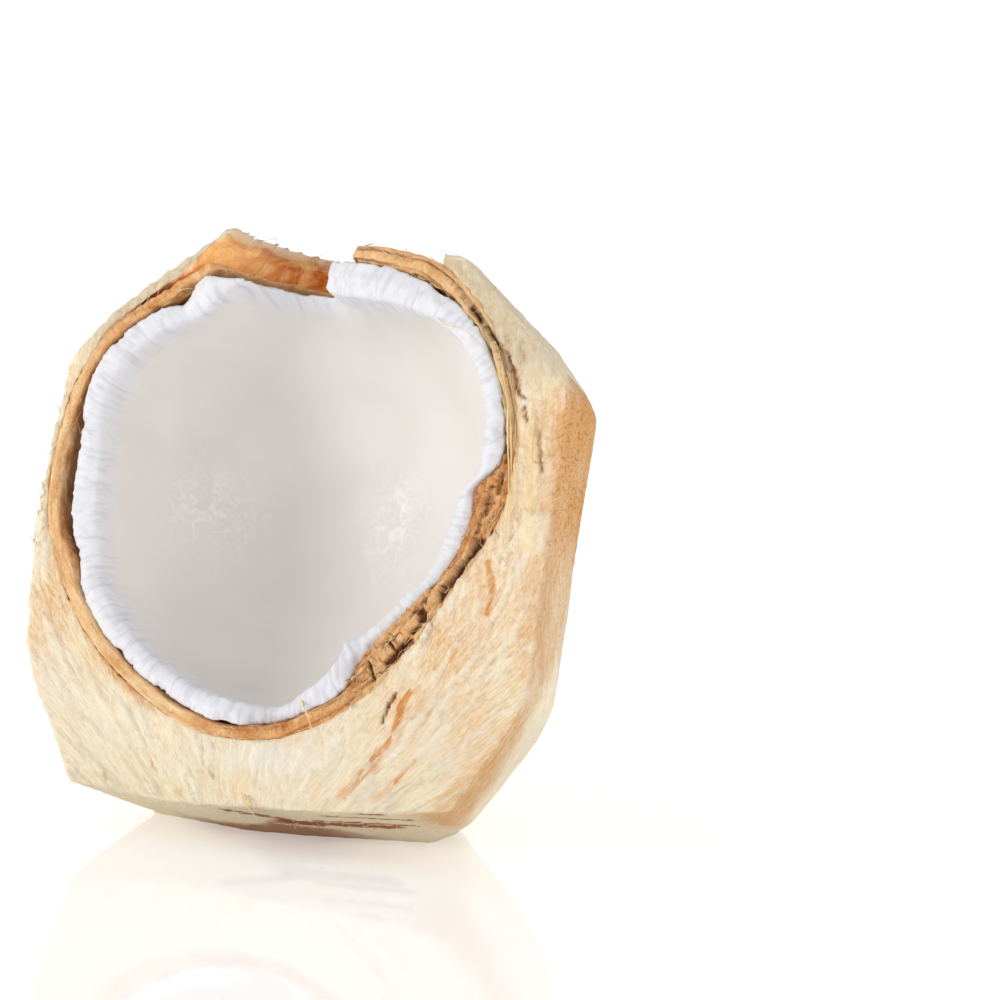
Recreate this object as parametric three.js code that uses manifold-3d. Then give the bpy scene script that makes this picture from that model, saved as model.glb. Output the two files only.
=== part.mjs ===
// Half of a trimmed young coconut, split lengthwise and leaning back on its base.
// Three pieces sit inside each other: the fibrous husk, the brittle brown shell
// and the soft white kernel that lines it. Millimetres, +Z up.
//
// The pieces are shaped in the fruit's own frame and then leaned back:
// u runs across the split face, v runs back from it, w runs up the fruit.
import * as THREE from 'three';
import { mergeVertices } from 'three/addons/utils/BufferGeometryUtils.js';
import Module from 'manifold-3d';

const wasm = await Module();
wasm.setup();

// ---- how the half stands
const LEAN = THREE.MathUtils.degToRad(18.5); // how far the split face leans back
const FRONT_LIFT = 10.5; // height of the split face's lower edge above the ground
const REST_CENTRE = 35; // from that edge back to the middle of the resting flat

// ---- husk, trimmed with a knife: [radius, height] up its outline
const HUSK_RADIUS = 57.8;
const TAPER_TOP = 26.5;
const SHOULDER = 84;
const HUSK_OUTLINE = [
  [37.8, -8],
  [42.4, 0],
  [47.6, 8.5],
  [54.3, 19.5],
  [57, TAPER_TOP],
  [57.6, 36],
  [HUSK_RADIUS, 47],
  [HUSK_RADIUS, 60],
  [57.4, 73],
  [57, SHOULDER],
  [55.2, 87.5],
  [48.2, 95.5],
  [35.2, 106],
  [20, 118],
];
const HUSK_SEGMENTS = 108; // around the whole fruit
const BASE_WIDENING = 0.52; // share of the base's taper that the back doesn't have
const SIDE_BOW = 1.5; // the left side bulges and the right side is cut flatter
const SIDE_BOW_HEIGHT = 52;
const SIDE_BOW_SPREAD = 24;
const SHOULDER_SPUR = 0.6; // extra on the right shoulder
const SHOULDER_SPREAD = 8;
const CHOP_DEPTH = 0.4; // knife marks around the sides

// ---- cuts across the husk: the height at the fruit's axis and the slope on u and v
const TOP_CUT = { height: 112.9, slopeU: -0.06, slopeV: -0.07 };
const BASE_CUTS = [
  { height: -1.6, slopeU: 0.045, slopeV: -0.165 }, // the middle
  { height: -4, slopeU: -0.08, slopeV: -0.1 }, // the left corner
  { height: -2.6, slopeU: 0.1, slopeV: -0.12 }, // the right corner
  { height: -25, slopeU: 0.53, slopeV: 0.29 }, // the edge behind the right corner
];

// ---- nut: shell and kernel, around a centre a little left of the fruit's axis
const NUT_CENTRE = { u: -4, w: 60 };
const SHELL_DEPTH = 45; // from the split face to the back of the shell
const SHELL_BACK = 2.6; // thickness of the shell at the back
const KERNEL_BACK = 6; // thickness of the kernel at the back
const FIT_GAP = 0.5; // between husk, shell and kernel
// Around the split face, anticlockwise from the right: the angle, the radius of
// the shell, the thickness of the shell, the gap inside it, the thickness of the
// kernel, and how far the shell's inner edge and the kernel's edge lie back.
const NUT_EDGE = [
  { angle: 2, shell: 49.3, wall: 6.6, gap: 0.5, kernel: 4.6, shellBack: 2.4, kernelBack: 3.2 },
  { angle: 7.5, shell: 50.3, wall: 7.7, gap: 0.9, kernel: 3.2, shellBack: 2.4, kernelBack: 3.2 },
  { angle: 12.5, shell: 51.3, wall: 1.9, gap: 1.0, kernel: 4.7, shellBack: 0.6, kernelBack: 0.8 },
  { angle: 17, shell: 52.1, wall: 1.6, gap: 0.5, kernel: 5.6, shellBack: 0.4, kernelBack: 0.6 },
  { angle: 26, shell: 53.6, wall: 1.7, gap: 0.5, kernel: 4.2, shellBack: 0.2, kernelBack: 0.2 },
  { angle: 45, shell: 56.0, wall: 2.2, gap: 0.5, kernel: 4.6, shellBack: 0.3, kernelBack: 0.2 },
  { angle: 60, shell: 56.2, wall: 3.5, gap: 0.5, kernel: 6.0, shellBack: 0.3, kernelBack: 0.2 },
  { angle: 74, shell: 53.4, wall: 2.8, gap: 0.5, kernel: 7.0, shellBack: 0.4, kernelBack: 0.0 },
  { angle: 84, shell: 51.8, wall: 2.4, gap: 0.5, kernel: 6.8, shellBack: 0.5, kernelBack: 0.2 },
  { angle: 94, shell: 53.0, wall: 2.2, gap: 0.5, kernel: 3.6, shellBack: 0.6, kernelBack: 0.6 },
  { angle: 108, shell: 52.6, wall: 1.8, gap: 0.5, kernel: 3.6, shellBack: 0.8, kernelBack: 0.8 },
  { angle: 120, shell: 51.6, wall: 1.2, gap: 0.5, kernel: 5.8, shellBack: 1.2, kernelBack: 0.6 },
  { angle: 127, shell: 51.6, wall: 1.8, gap: 1.4, kernel: 4.4, shellBack: 2.2, kernelBack: 2.4 },
  { angle: 133, shell: 52.0, wall: 1.6, gap: 0.6, kernel: 4.6, shellBack: 1.6, kernelBack: 1.0 },
  { angle: 146, shell: 54.1, wall: 1.8, gap: 0.5, kernel: 5.0, shellBack: 1.0, kernelBack: 0.6 },
  { angle: 159, shell: 53.9, wall: 2.0, gap: 0.6, kernel: 5.2, shellBack: 0.8, kernelBack: 0.5 },
  { angle: 170, shell: 52.8, wall: 2.6, gap: 2.0, kernel: 5.2, shellBack: 1.0, kernelBack: 0.8 },
  { angle: 182, shell: 52.7, wall: 2.6, gap: 2.4, kernel: 6.0, shellBack: 1.2, kernelBack: 0.8 },
  { angle: 193, shell: 51.8, wall: 2.8, gap: 1.8, kernel: 5.6, shellBack: 0.8, kernelBack: 0.8 },
  { angle: 200, shell: 50.8, wall: 4.2, gap: 0.6, kernel: 4.6, shellBack: 0.3, kernelBack: 0.8 },
  { angle: 207, shell: 50.3, wall: 2.4, gap: 0.5, kernel: 5.0, shellBack: 0.6, kernelBack: 0.6 },
  { angle: 220, shell: 49.0, wall: 2.2, gap: 0.5, kernel: 4.6, shellBack: 0.5, kernelBack: 0.4 },
  { angle: 236, shell: 47.9, wall: 2.0, gap: 0.5, kernel: 4.3, shellBack: 0.4, kernelBack: 0.3 },
  { angle: 252, shell: 48.2, wall: 2.4, gap: 0.5, kernel: 4.3, shellBack: 0.4, kernelBack: 0.3 },
  { angle: 266, shell: 48.5, wall: 2.2, gap: 0.5, kernel: 5.0, shellBack: 0.6, kernelBack: -0.4 },
  { angle: 277, shell: 47.9, wall: 2.6, gap: 0.6, kernel: 3.4, shellBack: 1.2, kernelBack: 3.4 },
  { angle: 287, shell: 46.8, wall: 2.8, gap: 0.5, kernel: 4.4, shellBack: 0.8, kernelBack: 0.8 },
  { angle: 298, shell: 45.3, wall: 2.6, gap: 0.5, kernel: 6.0, shellBack: 0.6, kernelBack: 0.6 },
  { angle: 303, shell: 44.7, wall: 4.4, gap: 0.7, kernel: 7.2, shellBack: 0.8, kernelBack: 1.8 },
  { angle: 308, shell: 44.1, wall: 6.0, gap: 0.7, kernel: 4.8, shellBack: 1.0, kernelBack: 3.0 },
  { angle: 319, shell: 42.9, wall: 5.8, gap: 0.5, kernel: 3.6, shellBack: 1.6, kernelBack: 3.4 },
  { angle: 331, shell: 42.6, wall: 5.2, gap: 0.5, kernel: 3.4, shellBack: 2.0, kernelBack: 3.6 },
  { angle: 343, shell: 43.8, wall: 3.8, gap: 0.5, kernel: 4.0, shellBack: 2.6, kernelBack: 3.6 },
  { angle: 353, shell: 46.4, wall: 4.8, gap: 0.5, kernel: 4.8, shellBack: 2.8, kernelBack: 3.4 },
];
// Radius that the husk's hollow has beyond the shell, where the shell's top is torn off
const POCKET = { angle: 100, spread: 20, extra: 4.6 };
const CUP_SEGMENTS = 90; // around the nut
const CUP_RINGS = 10; // from its edge to its back
const SHELL_OUTER_BACK = 0.2; // how far the shell's outer edge lies behind the face
const KERNEL_EDGE_SLOPE = 0.3; // how much further back the kernel's inner edge lies
const EDGE_CREST = 0.5; // how far the middle of a broken edge stands out
const EDGE_RIPPLE = 0.35; // crumbling of the kernel's and shell's edges
const EVEN_WINDOW = 36; // degrees either side over which the inside of the nut evens out
const EVEN_SAMPLES = 12;
const EVEN_FROM = 0.08; // share of the way to the back where that starts
const EVEN_TO = 0.5; // and where it is complete

// ---- drinking hole broken through the top of the nut: outline in u and v
// The bottom is the height of its broken edge, which drops to the right by the tilt;
// the hole in the shell lies a little higher and further to the right
const KERNEL_HOLE = { bottom: 103.3, tilt: 1.2, shift: 0 };
const SHELL_HOLE = { bottom: 104.6, tilt: 3.5, shift: 5 };
const HOLE_OUTLINE = [
  [-44, -8],
  [-0.8, -8],
  [-0.6, 4],
  [2.5, 11],
  [5.5, 20],
  [3, 30],
  [-10, 36],
  [-44, 36],
];

// ---- bite out of the husk between that hole and its right tip: the shell is bare there
const BITE = { bottom: 100, tilt: 0, shift: 0 };
const BITE_OUTLINE = [
  [-2, -8],
  [23.8, -8],
  [24.4, 2],
  [24, 5],
  [21, 8.5],
  [14, 12],
  [6, 14],
  [-2, 14],
];
const CUTTER = 200; // larger than the fruit

const radians = THREE.MathUtils.degToRad;

// A bell-shaped weight: 1 at zero, fading to nothing over a few spreads
function bell(distance, spread) {
  return Math.exp(-((distance / spread) ** 2));
}

// Smooth repeatable unevenness around the fruit, from -1 to 1
function uneven(angle, seed) {
  return 0.5 * Math.sin(7 * angle + seed) + 0.3 * Math.sin(13 * angle + 2.1 * seed)
    + 0.2 * Math.sin(23 * angle + 3.7 * seed);
}

// A smooth closed curve through one column of the nut's edge, by angle in degrees
function edgeCurve(key) {
  const count = NUT_EDGE.length;
  const row = (i) => NUT_EDGE[((i % count) + count) % count];
  const angle = (i) => row(i).angle + 360 * Math.floor(i / count);
  const slope = (i) => (row(i + 1)[key] - row(i - 1)[key]) / (angle(i + 1) - angle(i - 1));
  return (at) => {
    const turned = THREE.MathUtils.euclideanModulo(at - angle(0), 360) + angle(0);
    let i = 0;
    while (angle(i + 1) <= turned) i += 1;
    const span = angle(i + 1) - angle(i);
    const t = (turned - angle(i)) / span;
    const from = row(i)[key] * (1 + 2 * t) * (1 - t) ** 2 + row(i + 1)[key] * t * t * (3 - 2 * t);
    return from + span * (slope(i) * t * (1 - t) ** 2 - slope(i + 1) * t * t * (1 - t));
  };
}

// The same curve averaged over a window, which the walls reach away from the edge
function evened(curve) {
  const known = new Map();
  return (at) => {
    if (!known.has(at)) {
      let sum = 0;
      for (let i = 0; i <= EVEN_SAMPLES; i += 1) {
        sum += curve(at + EVEN_WINDOW * ((2 * i) / EVEN_SAMPLES - 1));
      }
      known.set(at, sum / (EVEN_SAMPLES + 1));
    }
    return known.get(at);
  };
}

// Radius of a wall, from its detailed edge to its even inside
function wallRadius(curve) {
  const even = evened(curve);
  return (at, share) => {
    const mix = THREE.MathUtils.smoothstep(share, EVEN_FROM, EVEN_TO);
    return THREE.MathUtils.lerp(curve(at), even(at), mix);
  };
}

const shellRadius = edgeCurve('shell');
const shellWall = edgeCurve('wall');
const innerGap = edgeCurve('gap');
const kernelWall = edgeCurve('kernel');
const shellBack = edgeCurve('shellBack');
const kernelBack = edgeCurve('kernelBack');

const shellInner = (at) => shellRadius(at) - shellWall(at);
const kernelOuter = (at) => shellInner(at) - Math.max(innerGap(at), FIT_GAP);
const kernelInner = (at) => kernelOuter(at) - kernelWall(at);

// Point on a nut surface: at an angle around the split face and a share of the way
// from the surface's edge, which lies "back" behind the face, to its deepest point
function nutPoint(at, share, radius, depth, back) {
  const start = Math.asin(back / depth);
  const turn = start + (Math.PI / 2 - start) * share;
  const reach = radius(at, share) * Math.cos(turn);
  const around = radians(at);
  return [
    NUT_CENTRE.u + reach * Math.cos(around),
    depth * Math.sin(turn),
    NUT_CENTRE.w + reach * Math.sin(around),
  ];
}

// Closed geometry from rings of points that all have the same count; the first and
// last rings are single points
function ringsGeometry(rings) {
  const positions = rings.flat(2);
  const starts = [];
  let total = 0;
  for (const ring of rings) {
    starts.push(total);
    total += ring.length;
  }
  const index = [];
  for (let j = 0; j + 1 < rings.length; j += 1) {
    const count = Math.max(rings[j].length, rings[j + 1].length);
    for (let i = 0; i < count; i += 1) {
      const next = (i + 1) % count;
      const a = starts[j] + (rings[j].length === 1 ? 0 : i);
      const b = starts[j] + (rings[j].length === 1 ? 0 : next);
      const c = starts[j + 1] + (rings[j + 1].length === 1 ? 0 : i);
      const d = starts[j + 1] + (rings[j + 1].length === 1 ? 0 : next);
      if (a !== b) index.push(a, b, d);
      if (c !== d) index.push(a, d, c);
    }
  }
  const geometry = new THREE.BufferGeometry();
  geometry.setAttribute('position', new THREE.Float32BufferAttribute(positions, 3));
  geometry.setIndex(index);
  return geometry;
}

function ring(pointAt) {
  return Array.from({ length: CUP_SEGMENTS }, (_, i) => pointAt((360 * i) / CUP_SEGMENTS));
}

// A cup: from the back of its outside, up to its edge, over it and down the inside
function cupGeometry({ outer, inner, outerDepth, innerDepth, outerBack, innerBack, seed }) {
  const outside = wallRadius(outer);
  const inside = wallRadius(inner);
  const middle = (at) => (outer(at) + inner(at)) / 2;
  const rings = [[[NUT_CENTRE.u, outerDepth, NUT_CENTRE.w]]];
  for (let j = CUP_RINGS - 1; j >= 0; j -= 1) {
    rings.push(ring((at) => nutPoint(at, j / CUP_RINGS, outside, outerDepth, outerBack(at))));
  }
  rings.push(ring((at) => {
    const back = (outerBack(at) + innerBack(at)) / 2 - EDGE_CREST
      + EDGE_RIPPLE * uneven(radians(at), seed);
    return nutPoint(at, 0, middle, (outerDepth + innerDepth) / 2, back);
  }));
  for (let j = 0; j < CUP_RINGS; j += 1) {
    rings.push(ring((at) => nutPoint(at, j / CUP_RINGS, inside, innerDepth, innerBack(at))));
  }
  rings.push([[NUT_CENTRE.u, innerDepth, NUT_CENTRE.w]]);
  return ringsGeometry(rings);
}

// The hollow that the nut leaves in the husk, reaching out through the split face
function hollowGeometry() {
  const depth = SHELL_DEPTH + FIT_GAP;
  const shell = wallRadius(shellRadius);
  const radius = (at, share) => shell(at, share) + FIT_GAP
    + POCKET.extra * bell(at - POCKET.angle, POCKET.spread);
  const front = -FRONT_LIFT;
  const rings = [[[NUT_CENTRE.u, depth, NUT_CENTRE.w]]];
  for (let j = CUP_RINGS - 1; j >= 0; j -= 1) {
    rings.push(ring((at) => nutPoint(at, j / CUP_RINGS, radius, depth, 0)));
  }
  rings.push(ring((at) => {
    const [u, , w] = nutPoint(at, 0, radius, depth, 0);
    return [u, front, w];
  }));
  rings.push([[NUT_CENTRE.u, front, NUT_CENTRE.w]]);
  return ringsGeometry(rings);
}

// The trimmed outside of the whole fruit, before it is split
function wholeHuskGeometry() {
  const bottom = HUSK_OUTLINE[0][1];
  const top = HUSK_OUTLINE.at(-1)[1];
  const profile = [[0, bottom], ...HUSK_OUTLINE, [0, top]].map(([r, w]) => new THREE.Vector2(r, w));
  const geometry = new THREE.LatheGeometry(profile, HUSK_SEGMENTS).rotateX(Math.PI / 2);
  const position = geometry.attributes.position;
  for (let i = 0; i < position.count; i += 1) {
    const [u, v, w] = [position.getX(i), position.getY(i), position.getZ(i)];
    const radius = Math.hypot(u, v);
    if (radius === 0) continue;
    const toBack = Math.max(v, 0) / radius;
    const toSide = u / radius;
    let change = 0;
    if (w < TAPER_TOP) change += BASE_WIDENING * toBack ** 4 * (HUSK_RADIUS - radius);
    change -= SIDE_BOW * toSide * bell(w - SIDE_BOW_HEIGHT, SIDE_BOW_SPREAD);
    change += SHOULDER_SPUR * Math.max(toSide, 0) ** 2 * bell(w - SHOULDER, SHOULDER_SPREAD);
    change += CHOP_DEPTH * uneven(Math.atan2(v, u), w / HUSK_RADIUS);
    position.setXY(i, u * (1 + change / radius), v * (1 + change / radius));
  }
  return geometry;
}

function solid(geometry) {
  geometry.deleteAttribute('normal');
  geometry.deleteAttribute('uv');
  const merged = mergeVertices(geometry, 1e-4);
  return new wasm.Manifold(new wasm.Mesh({
    numProp: 3,
    vertProperties: Float32Array.from(merged.attributes.position.array),
    triVerts: Uint32Array.from(merged.index.array),
  }));
}

// Everything on one side of a sloping plane through the fruit's axis
function slopingCut({ height, slopeU, slopeV }, above) {
  const block = new THREE.BoxGeometry(CUTTER, CUTTER, CUTTER);
  block.translate(0, 0, (above ? 1 : -1) * CUTTER / 2);
  const position = block.attributes.position;
  for (let i = 0; i < position.count; i += 1) {
    const rise = height + slopeU * position.getX(i) + slopeV * position.getY(i);
    position.setZ(i, position.getZ(i) + rise);
  }
  return solid(block);
}

// The surface that the fruit stands on, seen from the leaning fruit
function groundCut() {
  const level = Math.tan(LEAN);
  return slopingCut({ height: -FRONT_LIFT / Math.cos(LEAN), slopeU: 0, slopeV: level }, false);
}

function frontCut() {
  const block = new THREE.BoxGeometry(CUTTER, CUTTER, CUTTER);
  return solid(block.translate(0, -CUTTER / 2, CUTTER / 4));
}

// A hole of a given outline, open at the top
function openedTop(outline, { bottom, tilt, shift }) {
  const shape = new THREE.Shape(outline.map(([u, v]) => new THREE.Vector2(u + shift, v)));
  const block = new THREE.ExtrudeGeometry(shape, { depth: CUTTER, bevelEnabled: false });
  return solid(block.rotateY(radians(tilt)).translate(0, 0, bottom));
}

function huskSolid() {
  const split = solid(wholeHuskGeometry())
    .subtract(frontCut())
    .subtract(solid(hollowGeometry()))
    .subtract(slopingCut(TOP_CUT, true))
    .subtract(openedTop(BITE_OUTLINE, BITE));
  return BASE_CUTS.reduce((husk, cut) => husk.subtract(slopingCut(cut, false)), split)
    .subtract(groundCut());
}

function shellSolid() {
  return solid(cupGeometry({
    outer: shellRadius,
    inner: shellInner,
    outerDepth: SHELL_DEPTH,
    innerDepth: SHELL_DEPTH - SHELL_BACK,
    outerBack: () => SHELL_OUTER_BACK,
    innerBack: shellBack,
    seed: 1.3,
  })).subtract(openedTop(HOLE_OUTLINE, SHELL_HOLE));
}

function kernelSolid() {
  const depth = SHELL_DEPTH - SHELL_BACK - FIT_GAP;
  return solid(cupGeometry({
    outer: kernelOuter,
    inner: kernelInner,
    outerDepth: depth,
    innerDepth: depth - KERNEL_BACK,
    outerBack: kernelBack,
    innerBack: (at) => kernelBack(at) + KERNEL_EDGE_SLOPE,
    seed: 4.2,
  })).subtract(openedTop(HOLE_OUTLINE, KERNEL_HOLE));
}

function piece(name, body, colour, roughness) {
  const { vertProperties, triVerts } = body.getMesh();
  const geometry = new THREE.BufferGeometry();
  geometry.setAttribute('position', new THREE.Float32BufferAttribute(vertProperties, 3));
  geometry.setIndex(Array.from(triVerts));
  geometry.computeVertexNormals();
  const material = new THREE.MeshStandardMaterial({ color: colour, roughness, metalness: 0 });
  const mesh = new THREE.Mesh(geometry, material);
  mesh.name = name;
  return mesh;
}

const fruit = new THREE.Group();
fruit.rotation.x = -LEAN;
fruit.position.set(0, -REST_CENTRE, FRONT_LIFT);
fruit.add(piece('husk', huskSolid(), 0xead9b8, 0.85));
fruit.add(piece('shell', shellSolid(), 0xb87434, 0.8));
fruit.add(piece('kernel', kernelSolid(), 0xf3f1f2, 0.4));

const coconut = new THREE.Group();
coconut.add(fruit);
export default coconut;
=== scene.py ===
"""Half of a trimmed young coconut: fibrous husk, torn brown shell and wet white kernel.

The three solids are dressed one by one. Each is remeshed finely, relieved along the
grain of its own tissue, and given vertex marks that its material reads. Loose fibres
are added last. Shapes are worked out in the fruit's own frame, in millimetres:
u across the split face, v back from it, w up the fruit.
"""
import math

import bmesh
import bpy
import numpy as np
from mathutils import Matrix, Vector


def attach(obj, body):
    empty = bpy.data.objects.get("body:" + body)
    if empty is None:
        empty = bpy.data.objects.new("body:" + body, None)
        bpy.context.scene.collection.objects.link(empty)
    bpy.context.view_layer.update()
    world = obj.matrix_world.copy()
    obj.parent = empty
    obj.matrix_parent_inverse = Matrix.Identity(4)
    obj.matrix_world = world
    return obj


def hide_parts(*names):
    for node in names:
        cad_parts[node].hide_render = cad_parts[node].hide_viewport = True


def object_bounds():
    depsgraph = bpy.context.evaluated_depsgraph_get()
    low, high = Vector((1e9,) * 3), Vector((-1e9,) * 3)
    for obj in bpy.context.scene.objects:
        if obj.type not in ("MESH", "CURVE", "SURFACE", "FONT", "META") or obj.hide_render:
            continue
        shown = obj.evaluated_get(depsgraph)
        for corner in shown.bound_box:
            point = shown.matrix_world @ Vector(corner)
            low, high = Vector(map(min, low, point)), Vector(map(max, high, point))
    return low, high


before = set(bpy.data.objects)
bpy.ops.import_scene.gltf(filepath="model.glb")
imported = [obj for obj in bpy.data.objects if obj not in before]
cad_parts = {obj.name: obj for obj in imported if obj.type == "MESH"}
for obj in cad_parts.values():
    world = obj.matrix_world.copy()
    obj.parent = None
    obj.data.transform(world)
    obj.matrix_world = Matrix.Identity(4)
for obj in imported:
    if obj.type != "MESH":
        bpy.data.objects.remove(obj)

cad_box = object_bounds()
MM = 0.001

# ---- how the half stands in the frame
LEAN = math.radians(18.5)
FRONT_LIFT = 10.5  # of the split face's lower edge above the floor
REST_CENTRE = 35.0  # from the split face's foot back to the frame's middle
COS_LEAN, SIN_LEAN = math.cos(LEAN), math.sin(LEAN)

# ---- the fruit
NUT_U, NUT_W = -4.0, 60.0
NUT_RIM = 48.0  # the nut's mean radius, for lengths round it
NUT_DEPTH = 45.0
HOLLOW_ROOM = 5.4  # the husk's hollow ends within this of the shell
HUSK_RADIUS = 57.8
SHOULDER = 84.0
HOLE_BOTTOM = 103.3
RIM_TOP = 111.5  # the pale rim of the cut-off top starts just under this
EDGE_DEPTH = 6.0  # points this near the split face make up its edges
FIBRE_ROOT = -24.0  # the height that the fibres of the split face spread from
FIBRE_SPREAD = 65.0  # over this height they become parallel


def upright(x, y, z):
    """Takes the half's lean out of places or directions."""
    return np.stack([x, y * COS_LEAN - z * SIN_LEAN, y * SIN_LEAN + z * COS_LEAN], 1)


def to_fruit(points):
    """Row frame in metres to the fruit's frame in millimetres."""
    x, y, z = points.T / MM
    return upright(x, y + REST_CENTRE, z - FRONT_LIFT)


def from_fruit(points):
    """The fruit's frame in millimetres to the row frame in metres."""
    u, v, w = points.T
    y = v * COS_LEAN + w * SIN_LEAN - REST_CENTRE
    z = -v * SIN_LEAN + w * COS_LEAN + FRONT_LIFT
    return np.stack([u, y, z], 1) * MM


# ---- repeatable roughness

def lattice(cells, seed):
    """A repeatable number from 0 to 1 for each whole-number cell."""
    h = (cells[:, 0] * 73856093) ^ (cells[:, 1] * 19349663) ^ (cells[:, 2] * 83492791)
    h = (h + seed * 2654435761) & 0xFFFFFFFF
    h = ((h ^ (h >> 16)) * 0x45D9F3B) & 0xFFFFFFFF
    h = ((h ^ (h >> 16)) * 0x45D9F3B) & 0xFFFFFFFF
    return ((h ^ (h >> 16)) & 0xFFFFFF) / 0xFFFFFF


def lumps(points, size, seed):
    """Smooth lumps from -1 to 1; size is theirs, in all or along each axis."""
    scaled = points / np.asarray(size, float)
    cell = np.floor(scaled).astype(np.int64)
    part = scaled - cell
    part = part * part * (3 - 2 * part)
    total = np.zeros(len(points))
    for corner in range(8):
        step = np.array([corner & 1, corner >> 1 & 1, corner >> 2])
        weight = np.prod(np.where(step, part, 1 - part), 1)
        total += weight * lattice(cell + step, seed)
    return 2 * total - 1


def rough(points, size, seed, octaves=3):
    """Lumps with finer lumps on them."""
    total = np.zeros(len(points))
    for k in range(octaves):
        total += lumps(points, np.asarray(size, float) / 2 ** k, seed + 17 * k) / 2 ** k
    return total / (2 - 2 / 2 ** octaves)


def ramp(value, low, high):
    """0 at low and 1 at high, with soft ends."""
    t = np.clip((value - low) / (high - low), 0, 1)
    return t * t * (3 - 2 * t)


# ---- meshes

def placed(name, data):
    """A new object in the scene."""
    thing = bpy.data.objects.new(name, data)
    bpy.context.scene.collection.objects.link(thing)
    return thing


def remeshed(node, name, voxel, hidden, kept):
    """A fine, even copy of a solid, thinned to the kept share where it is hidden."""
    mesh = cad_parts[node].data.copy()
    bm = bmesh.new()
    bm.from_mesh(mesh)
    bmesh.ops.remove_doubles(bm, verts=bm.verts, dist=0.002 * MM)
    bm.to_mesh(mesh)
    bm.free()
    piece = placed(name, mesh)
    even = piece.modifiers.new("even", "REMESH")
    even.mode = "VOXEL"
    even.voxel_size = voxel * MM
    even.use_smooth_shade = True
    apply_modifiers(piece)
    unseen = np.nonzero(hidden(points_of(piece.data), normals_of(piece.data)))[0]
    piece.vertex_groups.new(name="unseen").add(unseen.tolist(), 1.0, "REPLACE")
    thin = piece.modifiers.new("thin", "DECIMATE")
    thin.ratio = 1 - (1 - kept) * len(unseen) / len(piece.data.vertices)
    thin.vertex_group = "unseen"
    thin.vertex_group_factor = 1000  # so that nothing else is thinned
    apply_modifiers(piece)
    piece.vertex_groups.clear()
    piece.data.materials.clear()
    return piece


def apply_modifiers(piece):
    """Puts what the modifiers make in place of the piece's mesh."""
    graph = bpy.context.evaluated_depsgraph_get()
    made = bpy.data.meshes.new_from_object(piece.evaluated_get(graph))
    worn = piece.data
    piece.modifiers.clear()
    piece.data = made
    bpy.data.meshes.remove(worn)
    made.name = piece.name


def refine(piece, wanted):
    """Splits the faces that wanted(points) picks, for finer relief there."""
    bm = bmesh.new()
    bm.from_mesh(piece.data)
    centres = to_fruit(np.array([f.calc_center_median() for f in bm.faces]))
    picked = wanted(centres)
    edges = {e for f, p in zip(bm.faces, picked) if p for e in f.edges}
    bmesh.ops.subdivide_edges(bm, edges=list(edges), cuts=1, use_grid_fill=True)
    bmesh.ops.triangulate(bm, faces=[f for f in bm.faces if len(f.verts) > 4])
    bm.to_mesh(piece.data)
    bm.free()


def read(mesh, what):
    """The places ("co") or the directions ("normal") of a mesh's points."""
    values = np.empty(len(mesh.vertices) * 3, np.float32)
    mesh.vertices.foreach_get(what, values)
    return values.reshape(-1, 3).astype(float)


def points_of(mesh):
    """A mesh's points in the fruit's frame."""
    return to_fruit(read(mesh, "co"))


def normals_of(mesh):
    """Which way the surface faces at each point, in the fruit's frame."""
    return upright(*read(mesh, "normal").T)


def set_points(mesh, points):
    """Moves a mesh's points, no further out than the solids reach."""
    placed = np.clip(from_fruit(points), cad_box[0], cad_box[1])
    mesh.vertices.foreach_set("co", placed.astype(np.float32).ravel())
    mesh.update()


def evened(mesh, values, rounds, weight=1.0):
    """Moves each point's values towards its neighbours' mean, so many times over."""
    edges = np.empty(len(mesh.edges) * 2, np.int32)
    mesh.edges.foreach_get("vertices", edges)
    a, b = edges.reshape(-1, 2).T
    count = len(mesh.vertices)
    degree = np.maximum(np.bincount(a, minlength=count) + np.bincount(b, minlength=count), 1)
    columns = [np.array(column, float) for column in np.atleast_2d(values.T)]
    for _ in range(rounds):
        for column in columns:
            total = np.bincount(a, column[b], count) + np.bincount(b, column[a], count)
            column += 0.5 * weight * (total / degree - column)
    return np.squeeze(np.stack(columns, -1))


def relax(mesh, rounds, weight=1.0):
    """Evens the surface itself out."""
    set_points(mesh, evened(mesh, points_of(mesh), rounds, weight))


def mark(mesh, **marks):
    """Keeps numbers or vectors on the points, for the material to read."""
    for name, values in marks.items():
        values = np.asarray(values, np.float32)
        kind, key = ("FLOAT", "value") if values.ndim == 1 else ("FLOAT_VECTOR", "vector")
        mesh.attributes.new(name, kind, "POINT").data.foreach_set(key, values.ravel())


# ---- marks on the split face

def stroke(points, path, width):
    """How near points are to a line on the split face: 1 on it, 0 past its width."""
    near = np.full(len(points), 1e9)
    flat = points[:, [0, 2]]
    for start, end in zip(path[:-1], path[1:]):
        start, end = np.array(start, float), np.array(end, float)
        along = end - start
        t = np.clip((flat - start) @ along / (along @ along), 0, 1)
        near = np.minimum(near, np.linalg.norm(flat - start - t[:, None] * along, axis=1))
    near = near + 0.35 * width * rough(points, (1.6, 1.6, 3.2), 71, 2)
    return 1 - ramp(near, 0.2 * width, width)


def cloud(points, centre, width, height):
    """A soft patch on the split face, 1 in its middle."""
    flat = points[:, [0, 2]] - np.array(centre, float)
    return np.exp(-((flat[:, 0] / width) ** 2) - (flat[:, 1] / height) ** 2)


def smear(points, centre, size):
    """A soft patch in space, 1 in its middle."""
    return np.exp(-np.sum(((points - np.array(centre, float)) / np.array(size, float)) ** 2, 1))


def gathered(points, strokes, clouds=()):
    """The strongest of many strokes and clouds at each point."""
    total = np.zeros(len(points))
    for path, width, strength in strokes:
        total = np.maximum(total, strength * stroke(points, path, width))
    for centre, width, height, strength in clouds:
        total = np.maximum(total, strength * cloud(points, centre, width, height))
    return total


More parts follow.
